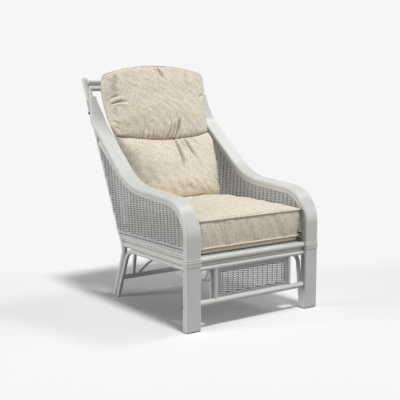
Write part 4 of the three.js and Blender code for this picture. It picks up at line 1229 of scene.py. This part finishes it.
seat = dressed("seat_cushion_cover", seat_mesh(), TWEED, ["seat_cushion"], SEAT_BODY)
back = dressed("back_cushion_cover", back_mesh(), TWEED, ["back_cushion"], BACK_BODY)
stuffed(seat, 0.0066, 3.5, 0.005, seat_freedom)
stuffed(back, 0.0056, 4.0, 0.008, back_freedom)
carved(seat, seat_relief)
carved(back, back_relief)
pipings = [seat_piping(LOW_SEAM, 5.6), seat_piping(HIGH_SEAM, 0.8)]
dressed("seat_cushion_piping", joined(pipings), TWEED, body=SEAT_BODY)
dressed("back_cushion_piping", back_piping(), TWEED, body=BACK_BODY)

# Camera, light and floor


def aimed(data, look):
    """Adds a camera or a lamp that looks in a direction."""
    thing = bpy.data.objects.new(data.name, data)
    thing.rotation_euler = Vector(look).to_track_quat("-Z", "Y").to_euler()
    scene.collection.objects.link(thing)
    return thing


camera_data = bpy.data.cameras.new("camera")
camera_data.lens = 77.12
camera_data.sensor_width = 36
camera_data.sensor_fit = "HORIZONTAL"
azimuth, down = math.radians(-36.51), math.radians(8.14)
look = (-math.sin(azimuth) * math.cos(down), math.cos(azimuth) * math.cos(down), -math.sin(down))
scene.camera = aimed(camera_data, look)
scene.camera.location = point(-2245, -2645, 999)

# Lamps: name, direction towards them, strength, angle that they fill
for name, towards, strength, angle in (
    ("key", (-0.02, -0.36, 0.93), 2.08, 10),
    ("high right", (0.6, -0.04, 0.8), 0.4, 10),
    ("right", (0.78, -0.59, 0.19), 1.05, 40),
    ("left", (-0.93, 0.24, 0.16), 1.95, 24),
):
    lamp = bpy.data.lights.new(name, "SUN")
    lamp.energy = strength
    lamp.angle = math.radians(angle)
    aimed(lamp, -Vector(towards))


def sees_backdrop(tree):
    """1 for rays from the camera and for those that a surface mirrors or lets through, else 0."""
    rays = tree.nodes.new("ShaderNodeLightPath").outputs
    share = rays["Is Camera Ray"]
    for kind in ("Is Glossy Ray", "Is Transmission Ray"):
        share = added(tree, "ShaderNodeMath", "Value", {0: share, 1: rays[kind]}, operation="MAXIMUM")
    return share


world = bpy.data.worlds.new("world")
scene.world = world
world.use_nodes = True
tree = world.node_tree
tree.nodes.clear()
ambient = added(tree, "ShaderNodeBackground", "Background", {"Color": (1, 1, 1, 1), "Strength": 0.12})
seen = added(tree, "ShaderNodeBackground", "Background", {"Color": (*grey(0.9216), 1)})
light = added(tree, "ShaderNodeMixShader", "Shader", {0: sees_backdrop(tree), 1: ambient, 2: seen})
feed(tree, tree.nodes.new("ShaderNodeOutputWorld"), {"Surface": light})

paper, tree, shader = new_material("floor_paper")
shade = mixed(tree, "MIX", sees_backdrop(tree), (*grey(0.24), 1), (*grey(0.914), 1))
feed(tree, shader, {"Base Color": shade, "Roughness": 1.0, "Specular IOR Level": 0.0})
corners = [Vector((x, y, 0)) for x, y in ((-60, -60), (60, -60), (60, 60), (-60, 60))]
floor = mesh_object("floor", corners, [(0, 1, 2, 3)], shade=False)
floor.data.materials.append(paper)
scene.view_settings.view_transform = "Standard"

bpy.context.view_layer.update()
